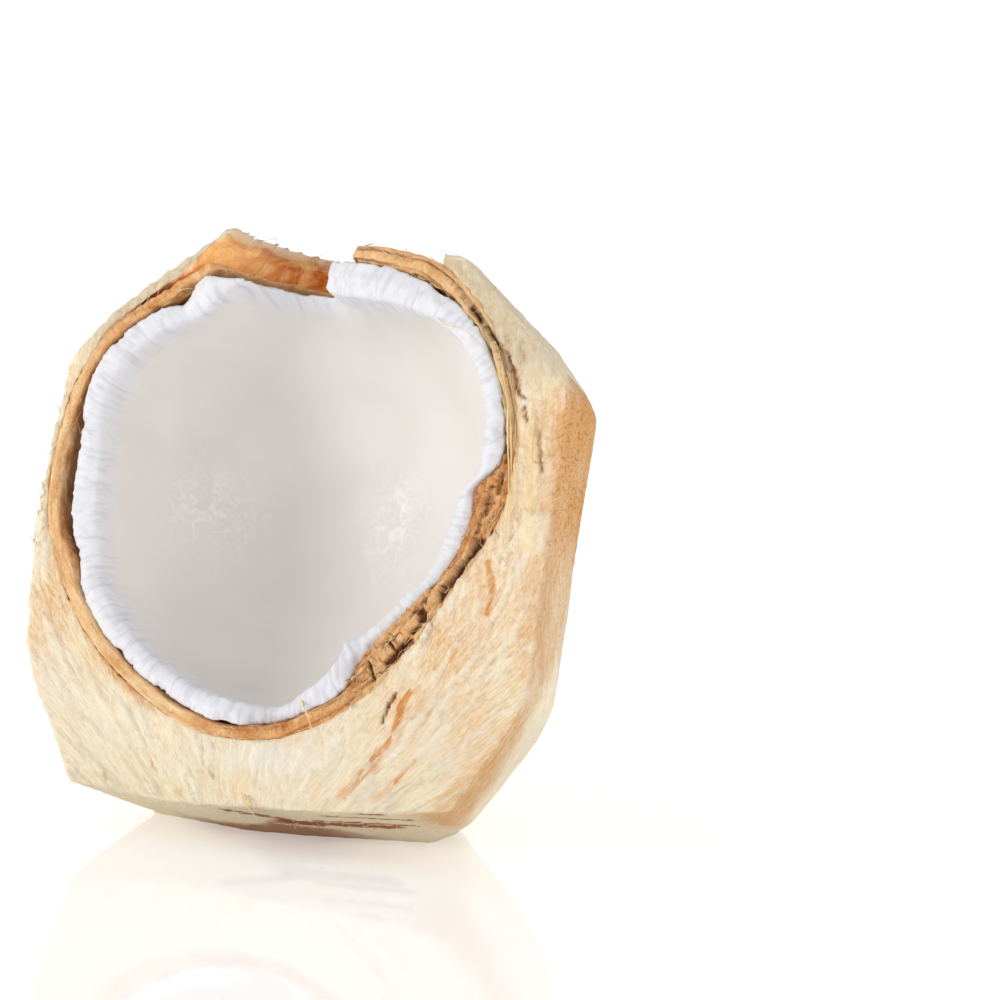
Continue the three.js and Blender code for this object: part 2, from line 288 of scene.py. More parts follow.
# ---- the nut's edge, measured on the frame's own solids

def edge_curve(node, pick):
    """A radius on the split face by angle: pick is np.max or np.min of the front's points."""
    points = points_of(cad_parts[node].data)
    du, dw = points[:, 0] - NUT_U, points[:, 2] - NUT_W
    near = points[:, 1] < EDGE_DEPTH
    angle, radius = np.arctan2(dw, du)[near], np.hypot(du, dw)[near]
    bins = np.linspace(-math.pi, math.pi, 73)  # 5 degrees each
    found = [radius[(angle >= lo) & (angle < hi)] for lo, hi in zip(bins[:-1], bins[1:])]
    known = [((lo + hi) / 2, pick(f)) for lo, hi, f in zip(bins[:-1], bins[1:], found) if len(f)]
    at, r = np.array(known).T
    return lambda query: np.interp(query, at, r, period=2 * math.pi)


shell_outside = edge_curve("shell", np.max)
shell_inside = edge_curve("shell", np.min)
kernel_inside = edge_curve("kernel", np.min)


def around_nut(points):
    """Angle and distance from the nut's middle, seen from the front."""
    du, dw = points[:, 0] - NUT_U, points[:, 2] - NUT_W
    return np.arctan2(dw, du), np.hypot(du, dw)


def moved_out(points, angle, by):
    """Points moved away from the nut's middle."""
    return points + np.stack([by * np.cos(angle), np.zeros(len(by)), by * np.sin(angle)], 1)


def round_nut(angle, across):
    """A place on the nut's rim with no seam in it: two lengths for the angle, one across."""
    return np.stack([NUT_RIM * np.cos(angle), NUT_RIM * np.sin(angle), across], 1)


def by_angle(angle, table):
    """A value that changes round the nut; the table goes by degrees."""
    degrees, values = zip(*table)
    return np.interp(np.degrees(angle) % 360, degrees, values, period=360)


def face_grain(points):
    """Across and along the fibres of the split face, and depth. They spread from the
    stem end and become parallel higher up."""
    rise = (points[:, 2] - FIBRE_ROOT) / FIBRE_SPREAD
    spread = (1 + np.maximum(rise, 0.05) ** -6.0) ** (-1 / 6)
    return np.stack([points[:, 0] / spread, points[:, 2], points[:, 1]], 1)


def skin_grain(points):
    """Round the fruit, up it, and inwards."""
    turn = np.arctan2(points[:, 1], points[:, 0])
    radius = np.hypot(points[:, 0], points[:, 1])
    return np.stack([turn * HUSK_RADIUS, points[:, 2] - 0.5 * radius, radius], 1)


# ---- materials

def linear(code):
    """sRGB hex to the linear values that shaders take."""
    channels = [int(code[i:i + 2], 16) / 255 for i in (1, 3, 5)]
    return [c / 12.92 if c <= 0.04045 else ((c + 0.055) / 1.055) ** 2.4 for c in channels] + [1.0]


def add(tree, kind, inputs=None, **properties):
    """Adds one node; an input takes a value, a socket or another node's first output."""
    node = tree.nodes.new(kind)
    for name, value in properties.items():
        setattr(node, name, value)
    for key, value in (inputs or {}).items():
        named = (s for s in node.inputs if s.enabled and s.name == key)
        socket = node.inputs[key] if isinstance(key, int) else next(named)
        if isinstance(value, bpy.types.Node):
            value = next(s for s in value.outputs if s.enabled)
        if isinstance(value, bpy.types.NodeSocket):
            tree.links.new(value, socket)
        else:
            socket.default_value = value
    return node


def new_material(name, sockets):
    """A material, its tree and its shader, with the shader's own sockets set."""
    material = bpy.data.materials.new(name)
    material.use_nodes = True
    shader = material.node_tree.nodes["Principled BSDF"]
    for key, value in sockets.items():
        shader.inputs[key].default_value = value
    return material, material.node_tree, shader


def cut_husk_fibre():
    """Husk cut with a knife: dry cream fibre, stained orange-brown where its juice dried.
    The eye gets fine streaks along the fibres, soft stains that the fibres break up, a
    painted highlight on the raised flakes of the split face, and a painted glow in the
    upper hollow: emission that stands in for light there."""
    material, tree, shader = new_material("knife_cut_husk_fibre", {
        "Roughness": 0.8, "Specular IOR Level": 0.3, "Subsurface Weight": 0.1,
        "Subsurface Scale": 3 * MM, "Subsurface Radius": (1.0, 0.6, 0.35)})
    place = add(tree, "ShaderNodeTexCoord").outputs["Object"]
    marks = {name: add(tree, "ShaderNodeAttribute", attribute_name=name).outputs["Fac"]
             for name in ("face", "orange", "pale", "dark", "grey", "hollow", "rim", "green",
                          "bruise", "crust", "straw", "bright", "golden", "lit")}
    thread, sheet = [], []
    for field in ("around", "across"):
        # the field counts in millimetres: threads 0.9 mm wide, sheets of fibre 4 mm
        grain = add(tree, "ShaderNodeAttribute", attribute_name=field).outputs["Vector"]
        fine = add(tree, "ShaderNodeMapping", {"Vector": grain, "Scale": (1 / 0.9, 1 / 2.4, 1 / 2)})
        thread.append(add(tree, "ShaderNodeTexNoise", {"Vector": fine, "Scale": 1.0, "Detail": 5.0,
                                                       "Roughness": 0.7, "Distortion": 0.4}))
        broad = add(tree, "ShaderNodeMapping", {"Vector": grain, "Scale": (1 / 4, 1 / 11, 1 / 8)})
        sheet.append(add(tree, "ShaderNodeTexNoise", {"Vector": broad, "Scale": 1.0, "Detail": 4.0,
                                                      "Roughness": 0.65}))
    thread, sheet = (add(tree, "ShaderNodeMix", {"Factor": marks["face"], "A": skin, "B": cut})
                     for skin, cut in (thread, sheet))
    patch = add(tree, "ShaderNodeTexNoise", {"Vector": place, "Scale": 1 / (12 * MM), "Detail": 4.0})
    crumb = add(tree, "ShaderNodeTexNoise", {"Vector": place, "Scale": 1 / (1.0 * MM), "Detail": 4.0,
                                             "Roughness": 0.7})
    fleck = add(tree, "ShaderNodeAttribute", attribute_name="around").outputs["Vector"]
    fleck = add(tree, "ShaderNodeMapping", {"Vector": fleck, "Scale": (1 / 1.2, 1 / 0.8, 1 / 1.5)})
    fleck = add(tree, "ShaderNodeTexNoise", {"Vector": fleck, "Scale": 1.0, "Detail": 3.0,
                                             "Roughness": 0.75})
    fold = add(tree, "ShaderNodeTexNoise", {"Vector": place, "Scale": 1 / (6 * MM), "Detail": 5.0,
                                            "Roughness": 0.6, "Distortion": 1.6})
    line, wide, spread, grit, fold = (
        add(tree, "ShaderNodeMapRange", {"Value": noise, "From Min": low, "From Max": high})
        for noise, low, high in ((thread, 0.38, 0.6), (sheet, 0.42, 0.68), (patch, 0.36, 0.66),
                                 (crumb, 0.42, 0.62), (fold, 0.42, 0.64)))
    faded, thin, worn = (
        add(tree, "ShaderNodeMapRange", {"Value": line, "To Min": low, "To Max": high})
        for low, high in ((1.2, 0.6), (1.0, 0.45), (1.0, 0.65)))
    soaked = add(tree, "ShaderNodeMapRange", {"Value": marks["orange"], "From Min": 0.6,
                                              "From Max": 0.95})
    fleck = add(tree, "ShaderNodeMapRange", {"Value": fleck, "From Min": 0.5, "From Max": 0.4,
                                             "To Max": 0.7})
    warmth, milky, stain, deep, fleck, brown, pith = (
        add(tree, "ShaderNodeMath", {0: one, 1: other}, operation="MULTIPLY")
        for one, other in ((wide, marks["face"]), (spread, 0.55), (marks["orange"], faded),
                           (soaked, thin), (fleck, marks["golden"]), (worn, marks["bruise"]),
                           (grit, 0.4)))
    fold = add(tree, "ShaderNodeMath", {0: fold, 1: marks["bright"]}, operation="ADD", use_clamp=True)
    colour, warm, rust, inner = (
        add(tree, "ShaderNodeMix", {"Factor": share, "A": linear(low), "B": linear(high)},
            data_type="RGBA")
        for share, low, high in ((line, "#F4E0B6", "#FFF6E2"), (line, "#EFCB94", "#F8E3BC"),
                                 (line, "#E09A4A", "#EDBE80"), (fold, "#CB6412", "#FFD08C")))
    inner = add(tree, "ShaderNodeMix", {"Factor": pith, "A": inner, "B": linear("#F2A858")},
                data_type="RGBA")
    # crust is a painted highlight: the raised flakes of the split face are painted near-white
    for share, tint in (
            (warmth, warm), (milky, linear("#F3E9D6")), (stain, rust), (deep, linear("#D6852F")),
            (marks["golden"], linear("#DFA664")), (fleck, linear("#B0641E")),
            (marks["pale"], linear("#F7F1E4")), (marks["crust"], linear("#FBF3DF")),
            (marks["straw"], linear("#FBE3AE")), (marks["grey"], linear("#CBBA9C")),
            (brown, linear("#CC934F")), (marks["green"], linear("#C9C49A")),
            (marks["hollow"], inner), (marks["rim"], linear("#E8DCC6")),
            (marks["dark"], linear("#8A4A10"))):
        colour = add(tree, "ShaderNodeMix", {"Factor": share, "A": colour, "B": tint},
                     data_type="RGBA")
    tree.links.new(colour.outputs[2], shader.inputs["Base Color"])
    # painted glow: the hollow's colour is also given out as light, on the upper hollow wall
    tree.links.new(inner.outputs[2], shader.inputs["Emission Color"])
    glow = add(tree, "ShaderNodeMath", {0: marks["lit"], 1: 0.24}, operation="MULTIPLY")
    tree.links.new(glow.outputs[0], shader.inputs["Emission Strength"])

    height = add(tree, "ShaderNodeMath", {0: thread, 1: crumb}, operation="ADD")
    relief = add(tree, "ShaderNodeBump", {"Height": height, "Strength": 0.8, "Distance": 0.5 * MM})
    tree.links.new(relief.outputs[0], shader.inputs["Normal"])
    return material


def torn_young_shell():
    """Young shell torn by hand: tan layers, orange-brown where they broke, with painted shade
    between them and in the sunk places of the break. The eye gets lines that run round the
    nut, and rust-coloured crumbs."""
    material, tree, shader = new_material("torn_young_shell", {
        "Roughness": 0.68, "Specular IOR Level": 0.35, "Subsurface Weight": 0.06,
        "Subsurface Scale": 2 * MM, "Subsurface Radius": (1.0, 0.5, 0.25)})
    place = add(tree, "ShaderNodeTexCoord").outputs["Object"]
    grain = add(tree, "ShaderNodeAttribute", attribute_name="grain").outputs["Vector"]
    marks = {name: add(tree, "ShaderNodeAttribute", attribute_name=name).outputs["Fac"]
             for name in ("crevice", "brown", "lip", "deep", "blond")}
    layer = add(tree, "ShaderNodeMapping", {"Vector": grain, "Scale": (1 / 7, 1 / 7, 1 / 0.8)})
    layer = add(tree, "ShaderNodeTexNoise", {"Vector": layer, "Scale": 1.0, "Detail": 4.0,
                                             "Roughness": 0.6, "Distortion": 0.3})
    crumb = add(tree, "ShaderNodeTexNoise", {"Vector": place, "Scale": 1 / (1.2 * MM), "Detail": 4.0,
                                             "Roughness": 0.62})
    line = add(tree, "ShaderNodeMapRange", {"Value": layer, "From Min": 0.38, "From Max": 0.62})
    grit = add(tree, "ShaderNodeMapRange", {"Value": crumb, "From Min": 0.4, "From Max": 0.62})
    colour, rust = (
        add(tree, "ShaderNodeMix", {"Factor": line, "A": linear(low), "B": linear(high)},
            data_type="RGBA")
        for low, high in (("#E7B175", "#F9D6A5"), ("#CC8542", "#EFBB80")))
    broken = add(tree, "ShaderNodeMath", {0: grit, 1: marks["brown"]}, operation="MULTIPLY")
    broken = add(tree, "ShaderNodeMath", {0: broken, 1: 0.6}, operation="MULTIPLY")
    edge = add(tree, "ShaderNodeMapRange", {"Value": line, "To Min": 1.0, "To Max": 0.6})
    edge = add(tree, "ShaderNodeMath", {0: edge, 1: marks["lip"]}, operation="MULTIPLY")
    for share, tint in ((marks["brown"], rust), (marks["blond"], linear("#EED3A0")),
                        (broken, linear("#B96F34")), (edge, linear("#8E5222")),
                        (marks["deep"], linear("#6E3A14")), (marks["crevice"], linear("#5E2F10"))):
        colour = add(tree, "ShaderNodeMix", {"Factor": share, "A": colour, "B": tint},
                     data_type="RGBA")
    tree.links.new(colour.outputs[2], shader.inputs["Base Color"])
    height = add(tree, "ShaderNodeMath", {0: layer, 1: crumb}, operation="ADD")
    relief = add(tree, "ShaderNodeBump", {"Height": height, "Strength": 0.7, "Distance": 0.8 * MM})
    tree.links.new(relief.outputs[0], shader.inputs["Normal"])
    return material


def fresh_coconut_flesh():
    """Fresh coconut flesh: dense, white, slightly see-through and wet. The eye gets a
    soft glow, a drier crystal-white broken edge, and patches of wet gloss inside,
    which are also painted a little lighter as a painted sheen."""
    material, tree, shader = new_material("fresh_coconut_flesh", {
        "IOR": 1.38, "Specular IOR Level": 0.45, "Subsurface Weight": 0.16,
        "Subsurface Scale": 2.5 * MM, "Subsurface Radius": (1.0, 0.85, 0.7)})
    place = add(tree, "ShaderNodeTexCoord").outputs["Object"]
    grain = add(tree, "ShaderNodeAttribute", attribute_name="grain").outputs["Vector"]
    marks = {name: add(tree, "ShaderNodeAttribute", attribute_name=name).outputs["Fac"]
             for name in ("edge", "skin", "wet")}
    veil = add(tree, "ShaderNodeTexNoise", {"Vector": place, "Scale": 1 / (22 * MM), "Detail": 2.0})
    crystal = add(tree, "ShaderNodeMapping", {"Vector": grain, "Scale": (1 / 1.1, 1 / 1.1, 1 / 4)})
    crystal = add(tree, "ShaderNodeTexNoise", {"Vector": crystal, "Scale": 1.0, "Detail": 3.0})
    film = add(tree, "ShaderNodeTexNoise", {"Vector": place, "Scale": 1 / (2.4 * MM), "Detail": 6.0,
                                            "Distortion": 1.6})
    veil, split, pool_and_sheen = (
        add(tree, "ShaderNodeMapRange", {"Value": noise, "From Min": low, "From Max": high})
        for noise, low, high in ((veil, 0.3, 0.7), (crystal, 0.36, 0.5), (film, 0.47, 0.66)))
    pool_and_sheen = add(tree, "ShaderNodeMath", {0: pool_and_sheen, 1: marks["wet"]}, operation="MULTIPLY")
    colour, broken = (
        add(tree, "ShaderNodeMix", {"Factor": share, "A": linear(low), "B": linear(high)},
            data_type="RGBA")
        for share, low, high in ((veil, "#DDD9D5", "#E6E3E0"), (split, "#D5D5DC", "#E2E3E9")))
    # the wet pools are painted lighter, a painted sheen on top of their real gloss
    for share, tint in ((pool_and_sheen, linear("#ECEAE8")), (marks["edge"], broken),
                        (marks["skin"], linear("#DDBD91"))):
        colour = add(tree, "ShaderNodeMix", {"Factor": share, "A": colour, "B": tint},
                     data_type="RGBA")
    tree.links.new(colour.outputs[2], shader.inputs["Base Color"])
    gloss = add(tree, "ShaderNodeMapRange", {"Value": pool_and_sheen, "To Min": 0.48, "To Max": 0.27})
    gloss = add(tree, "ShaderNodeMix", {"Factor": marks["edge"], "A": gloss, "B": 0.5})
    tree.links.new(gloss.outputs[0], shader.inputs["Roughness"])
    ripple = add(tree, "ShaderNodeMath", {0: film, 1: marks["wet"]}, operation="MULTIPLY")
    ripple = add(tree, "ShaderNodeMix", {"Factor": marks["edge"], "A": ripple, "B": crystal})
    relief = add(tree, "ShaderNodeBump", {"Height": ripple, "Strength": 0.5, "Distance": 0.25 * MM})
    tree.links.new(relief.outputs[0], shader.inputs["Normal"])
    return material


def loose_fibre(name, root, tip):
    """Loose coir fibre. The eye gets thin strands that pale towards their dry parts."""
    material, tree, shader = new_material(name, {"Roughness": 0.6, "Subsurface Weight": 0.1,
                                                 "Subsurface Scale": 1 * MM})
    place = add(tree, "ShaderNodeTexCoord").outputs["Object"]
    dry = add(tree, "ShaderNodeTexNoise", {"Vector": place, "Scale": 1 / (5 * MM), "Detail": 2.0})
    dry = add(tree, "ShaderNodeMapRange", {"Value": dry, "From Min": 0.4, "From Max": 0.6})
    colour = add(tree, "ShaderNodeMix", {"Factor": dry, "A": linear(root), "B": linear(tip)},
                 data_type="RGBA")
    tree.links.new(colour.outputs[2], shader.inputs["Base Color"])
    return material


# ---- husk

ORANGE_STROKES = [
    # path on the split face, width, strength
    ([(31.0, 24.6), (29.6, 21.4), (29.1, 18.7)], 1.3, 1.0),
    ([(29.6, 20.4), (28.2, 14.6), (25.6, 11.0), (23.4, 7.8)], 1.4, 1.0),
    ([(26.4, 11.6), (23.2, 6.6), (20.2, 3.4)], 2.4, 0.7),
    ([(34.4, 11.6), (32.8, 9.6), (31.0, 7.0)], 1.1, 0.9),
    ([(31.4, 7.4), (29.0, 4.6), (27.6, 3.0)], 1.6, 0.5),
    ([(43.5, 51.4), (45.6, 46.7), (45.8, 42.8), (45.4, 41.4)], 1.5, 0.85),
    ([(56.0, 21.4), (52.3, 16.1), (48.7, 11.8), (44.2, 6.5), (41.5, 3.3)], 2.6, 0.6),
    ([(56.6, 21.6), (55.4, 18.9)], 2.4, 1.0),
    ([(44.5, 72.0), (44.0, 68.0), (43.0, 63.2)], 1.4, 0.9),
    ([(38.9, 94.6), (43.4, 87.0), (46.0, 80.0)], 3.2, 0.5),
    ([(-48.0, 38.0), (-41.4, 29.1), (-34.4, 22.2), (-26.0, 16.0)], 2.2, 0.75),
    ([(53.9, 60.0), (54.6, 44.0), (54.8, 30.0)], 1.6, 0.45),
]
ORANGE_CLOUDS = [
    # centre, width, height, strength
    ((-51.0, 35.0), 6.0, 11.0, 0.62),
    ((48.0, 60.0), 5.0, 16.0, 0.36),
    ((50.0, 78.0), 6.0, 8.0, 0.34),
    ((32.0, 22.0), 8.0, 7.0, 0.5),
    ((44.0, 42.0), 8.0, 20.0, 0.42),
    ((-40.0, 23.0), 5.0, 4.0, 0.35),
    ((38.0, 33.0), 9.0, 9.0, 0.58),
    ((45.0, 22.0), 7.0, 11.0, 0.42),
    ((55.5, 74.0), 3.5, 14.0, 0.38),
    ((53.0, 40.0), 4.0, 15.0, 0.42),
    ((42.0, 84.0), 6.0, 10.0, 0.30),
]
DARK_STROKES = [
    ([(28.2, 24.1), (27.2, 22.0), (26.4, 20.0), (25.6, 18.1)], 0.55, 1.0),
    ([(39.7, 93.7), (41.6, 91.4), (43.0, 89.1), (44.9, 85.5), (46.7, 83.8)], 0.9, 1.0),
    ([(46.7, 82.3), (47.4, 80.9), (48.1, 79.4)], 0.6, 0.9),
    ([(50.3, 77.6), (51.4, 74.7), (52.4, 69.9)], 0.6, 0.6),
    ([(34.0, 39.2), (34.3, 37.2), (33.6, 34.8), (32.6, 33.1)], 0.4, 0.35),
    ([(35.0, 42.6), (34.0, 40.6)], 0.4, 0.4),
    ([(-45.9, 35.7), (-39.4, 28.1), (-32.4, 21.7), (-29.6, 19.3)], 0.8, 0.9),
    ([(34.8, 43.8), (37.4, 47.4), (39.7, 50.7), (41.3, 54.6)], 0.8, 1.0),
    ([(-23.9, 5.5), (-22.4, 3.7)], 0.5, 0.35),
    ([(-10.4, 5.2), (-9.2, 3.8)], 0.45, 0.3),
    ([(-34.0, 2.0), (-33.2, 0.6)], 0.4, 0.3),
    ([(27.6, 34.3), (28.6, 35.7), (29.8, 37.0)], 0.5, 0.6),
    ([(25.0, 30.6), (26.4, 32.6)], 0.45, 0.45),
]
RIDGES = [
    # raised bundles of fibre: path, width, strength
    ([(43.6, 88.0), (45.6, 82.0), (46.8, 72.3), (46.9, 63.0)], 1.6, 0.7),
    ([(48.5, 79.4), (50.1, 73.6), (51.4, 65.8), (52.0, 55.0)], 2.2, 0.8),
    ([(46.4, 60.0), (46.0, 52.0), (43.8, 46.0)], 1.6, 0.5),
]
PALE_STROKES = [
    ([(6.7, 5.5), (9.4, 10.0), (11.1, 12.5)], 1.2, 0.5),
]
PALE_CLOUDS = [
    ((3.0, 8.8), 13.0, 3.4, 0.85),
    ((-46.0, 19.0), 7.0, 5.0, 0.35),
    ((-28.0, 12.0), 14.0, 7.0, 0.25),
    ((20.0, 13.0), 8.0, 8.0, 0.25),
]
BASE_STREAKS = [
    # on the strip under the split face: u and v of its ends, width, strength
    ((-9.0, 3.0), (10.0, 8.5), 1.0, 1.0),
    ((1.0, 8.0), (29.0, 12.6), 2.2, 1.0),
    ((10.0, 7.2), (33.0, 10.9), 1.2, 0.9),
    ((14.0, 3.4), (34.0, 6.5), 0.7, 0.9),
    ((22.0, 1.2), (29.0, 1.9), 0.6, 0.8),
]
HUSK_CLOSING = [
    # how far the husk's edge leans over the gap beside the shell, by degrees round the nut
    (0, 0.8), (50, 0.7), (60, 0.2), (72, 0.0), (140, 0.0), (150, 0.3), (230, 0.4), (260, 0.7), (300, 0.9),
]
BARK = [
    # how crusty the husk is beside the shell
    (0, 1.0), (22, 1.0), (40, 0.5), (70, 0.0), (180, 0.0), (280, 0.0), (300, 0.5), (330, 0.8),
]
NUT_STAIN = [
    # how strongly the husk is stained beside the shell, by degrees round the nut
    (0, 0.8), (30, 0.5), (60, 0.8), (90, 0.9), (130, 0.8), (170, 0.5), (200, 0.8), (230, 0.5),
    (250, 0.25), (265, 0.6), (285, 0.5), (300, 0.8), (340, 0.9),
]


def facing_nut(points, normals):
    """1 where a surface faces the nut's middle."""
    outwards = points - (NUT_U, 0, NUT_W)
    inward = -np.sum(outwards * normals, 1) / np.linalg.norm(outwards, axis=1)
    return ramp(inward, -0.1, 0.2)


def under_nut(points, normals):
    """1 on the wall of the husk's hollow, and 0 elsewhere."""
    angle, distance = around_nut(points)
    v = points[:, 1]
    reach = np.hypot(distance / (shell_outside(angle) + HOLLOW_ROOM), v / (NUT_DEPTH + HOLLOW_ROOM))
    return (1 - ramp(reach, 0.985, 1.02)) * ramp(v, 0.5, 1.2) * facing_nut(points, normals)


def husk_unseen(points, normals):
    return (under_nut(points, normals) > 0.9) & (points[:, 1] > 12) & (points[:, 2] < 96)


def husk_seen_close(centres):
    """The split face, and the pocket in the broken top."""
    v, w = centres[:, 1], centres[:, 2]
    angle, distance = around_nut(centres)
    return (v < 1.4) | ((w > 95) & (v < 26) & (distance < shell_outside(angle) + 10))


def side_stain(points, face, outside):
    """The stain down the right side, which bleeds a little onto the split face."""
    u, v, w = points.T
    ragged = np.degrees(np.arctan2(v, u)) + 3 * lumps(points, (4, 4, 7), 7)
    side = ramp(ragged, -6, -1) * (1 - ramp(ragged, 8 + 10 * ramp(w, 44, 72), 50))
    side *= ramp(w, 14, 50) * (1 - ramp(w + 3 * lumps(points, 3, 10), 83, 91))
    side = ramp(side + 0.4 * rough(points, (8, 8, 11), 83), 0.25, 0.7) * ramp(side, 0.02, 0.2)
    side *= 0.35 + 0.6 * ramp(w + 8 * rough(points, (8, 8, 11), 85), 46, 68)
    side *= np.clip(0.9 + 0.4 * rough(points, (4, 4, 9), 80, 2), 0, 1)
    side *= outside + 0.8 * face * ramp(u + 2 * lumps(points, (3, 3, 5), 82), 50, 58)
    return side


def base_streaks(points, outside):
    """Brown streaks on the strip of the base under the split face."""
    under = np.zeros(len(points))
    for start, end, width, strength in BASE_STREAKS:
        run = np.array(end) - np.array(start)
        t = np.clip((points[:, :2] - start) @ run / (run @ run), 0, 1)
        gap = np.linalg.norm(points[:, :2] - start - t[:, None] * run, axis=1)
        gap += 0.5 * width * rough(points, (2.5, 0.8, 2), 9)
        fade = np.clip(t * (1 - t) * 8 + 0.2, 0, 1)
        under = np.maximum(under, strength * (1 - ramp(gap, 0.2 * width, width)) * fade)
    under *= outside * (1 - ramp(points[:, 2], 0, 4))
    return under


def painted_contact_shade(points, outside):
    """Painted shade along the line where the base comes down to the floor."""
    u, v = points[:, 0], points[:, 1]
    off_floor = from_fruit(points)[:, 2] / MM + lumps(points, 3, 57)
    # the painted shade reaches higher near u = 4
    off_floor -= 2.6 * np.exp(-((u - 4) / 7) ** 2)
    contact_shade = outside * (1 - ramp(off_floor, 0.8, 3.0)) * (1 - ramp(v, 34, 42))
    contact_shade *= ramp(u, -30, -12) * (1 - ramp(u, 6, 24))
    return contact_shade


def bruised_corner(points, outside):
    """The brown band along the corner between the split face and the right side."""
    u, v, w = points.T
    down = 1 - ramp(w, 4, 22)
    from_front = ramp(v + 2 * lumps(points, 3, 29), 4 + 3 * down, 10 + 6 * down)
    folded = ramp(u, 30, 40) * (1 - from_front) * (0.5 + 0.4 * down)
    return outside * folded * (1 - ramp(w, 45, 70))


def top_rim(points, normals, up, face):
    """The pale band where the cone was cut off."""
    rim = ramp(up, RIM_TOP - 0.8, RIM_TOP) * (1 - face)
    rim *= np.maximum(facing_nut(points, normals), ramp(normals[:, 2], 0.65, 0.85))
    rim *= np.clip(0.85 + 0.5 * rough(points, 3, 85, 2), 0, 1)
    return rim


def fibre_relief(points, across, beside, flakes, cracks):
    """The split face's own roughness, sunk a little so that its high places stay inside."""
    relief = 0.35 * rough(across, (7, 12, 8), 11) + 0.55 * flakes
    relief += 0.16 * rough(points, 1, 20, 1)
    relief += 0.45 * np.exp(-beside / 2.5) * rough(points, 2, 13) - 0.5 * cracks - 0.45
    return relief


def bark_beside_shell(points, angle, beside):
    """The crust on the split face beside the shell: its relief, and how dark its splits are."""
    bark = by_angle(angle, BARK) * (1 - ramp(beside + 2 * lumps(points, (4, 4, 6), 51), 5, 10))
    torn = ramp(-np.abs(rough(points, (1.8, 1.8, 5), 52)), -0.07, 0.0)
    torn *= ramp(rough(points, 5, 56, 2), -0.1, 0.3)
    return bark * (0.6 * rough(points, (2, 2, 4.4), 53) - 0.3 * torn), 0.3 * bark * torn


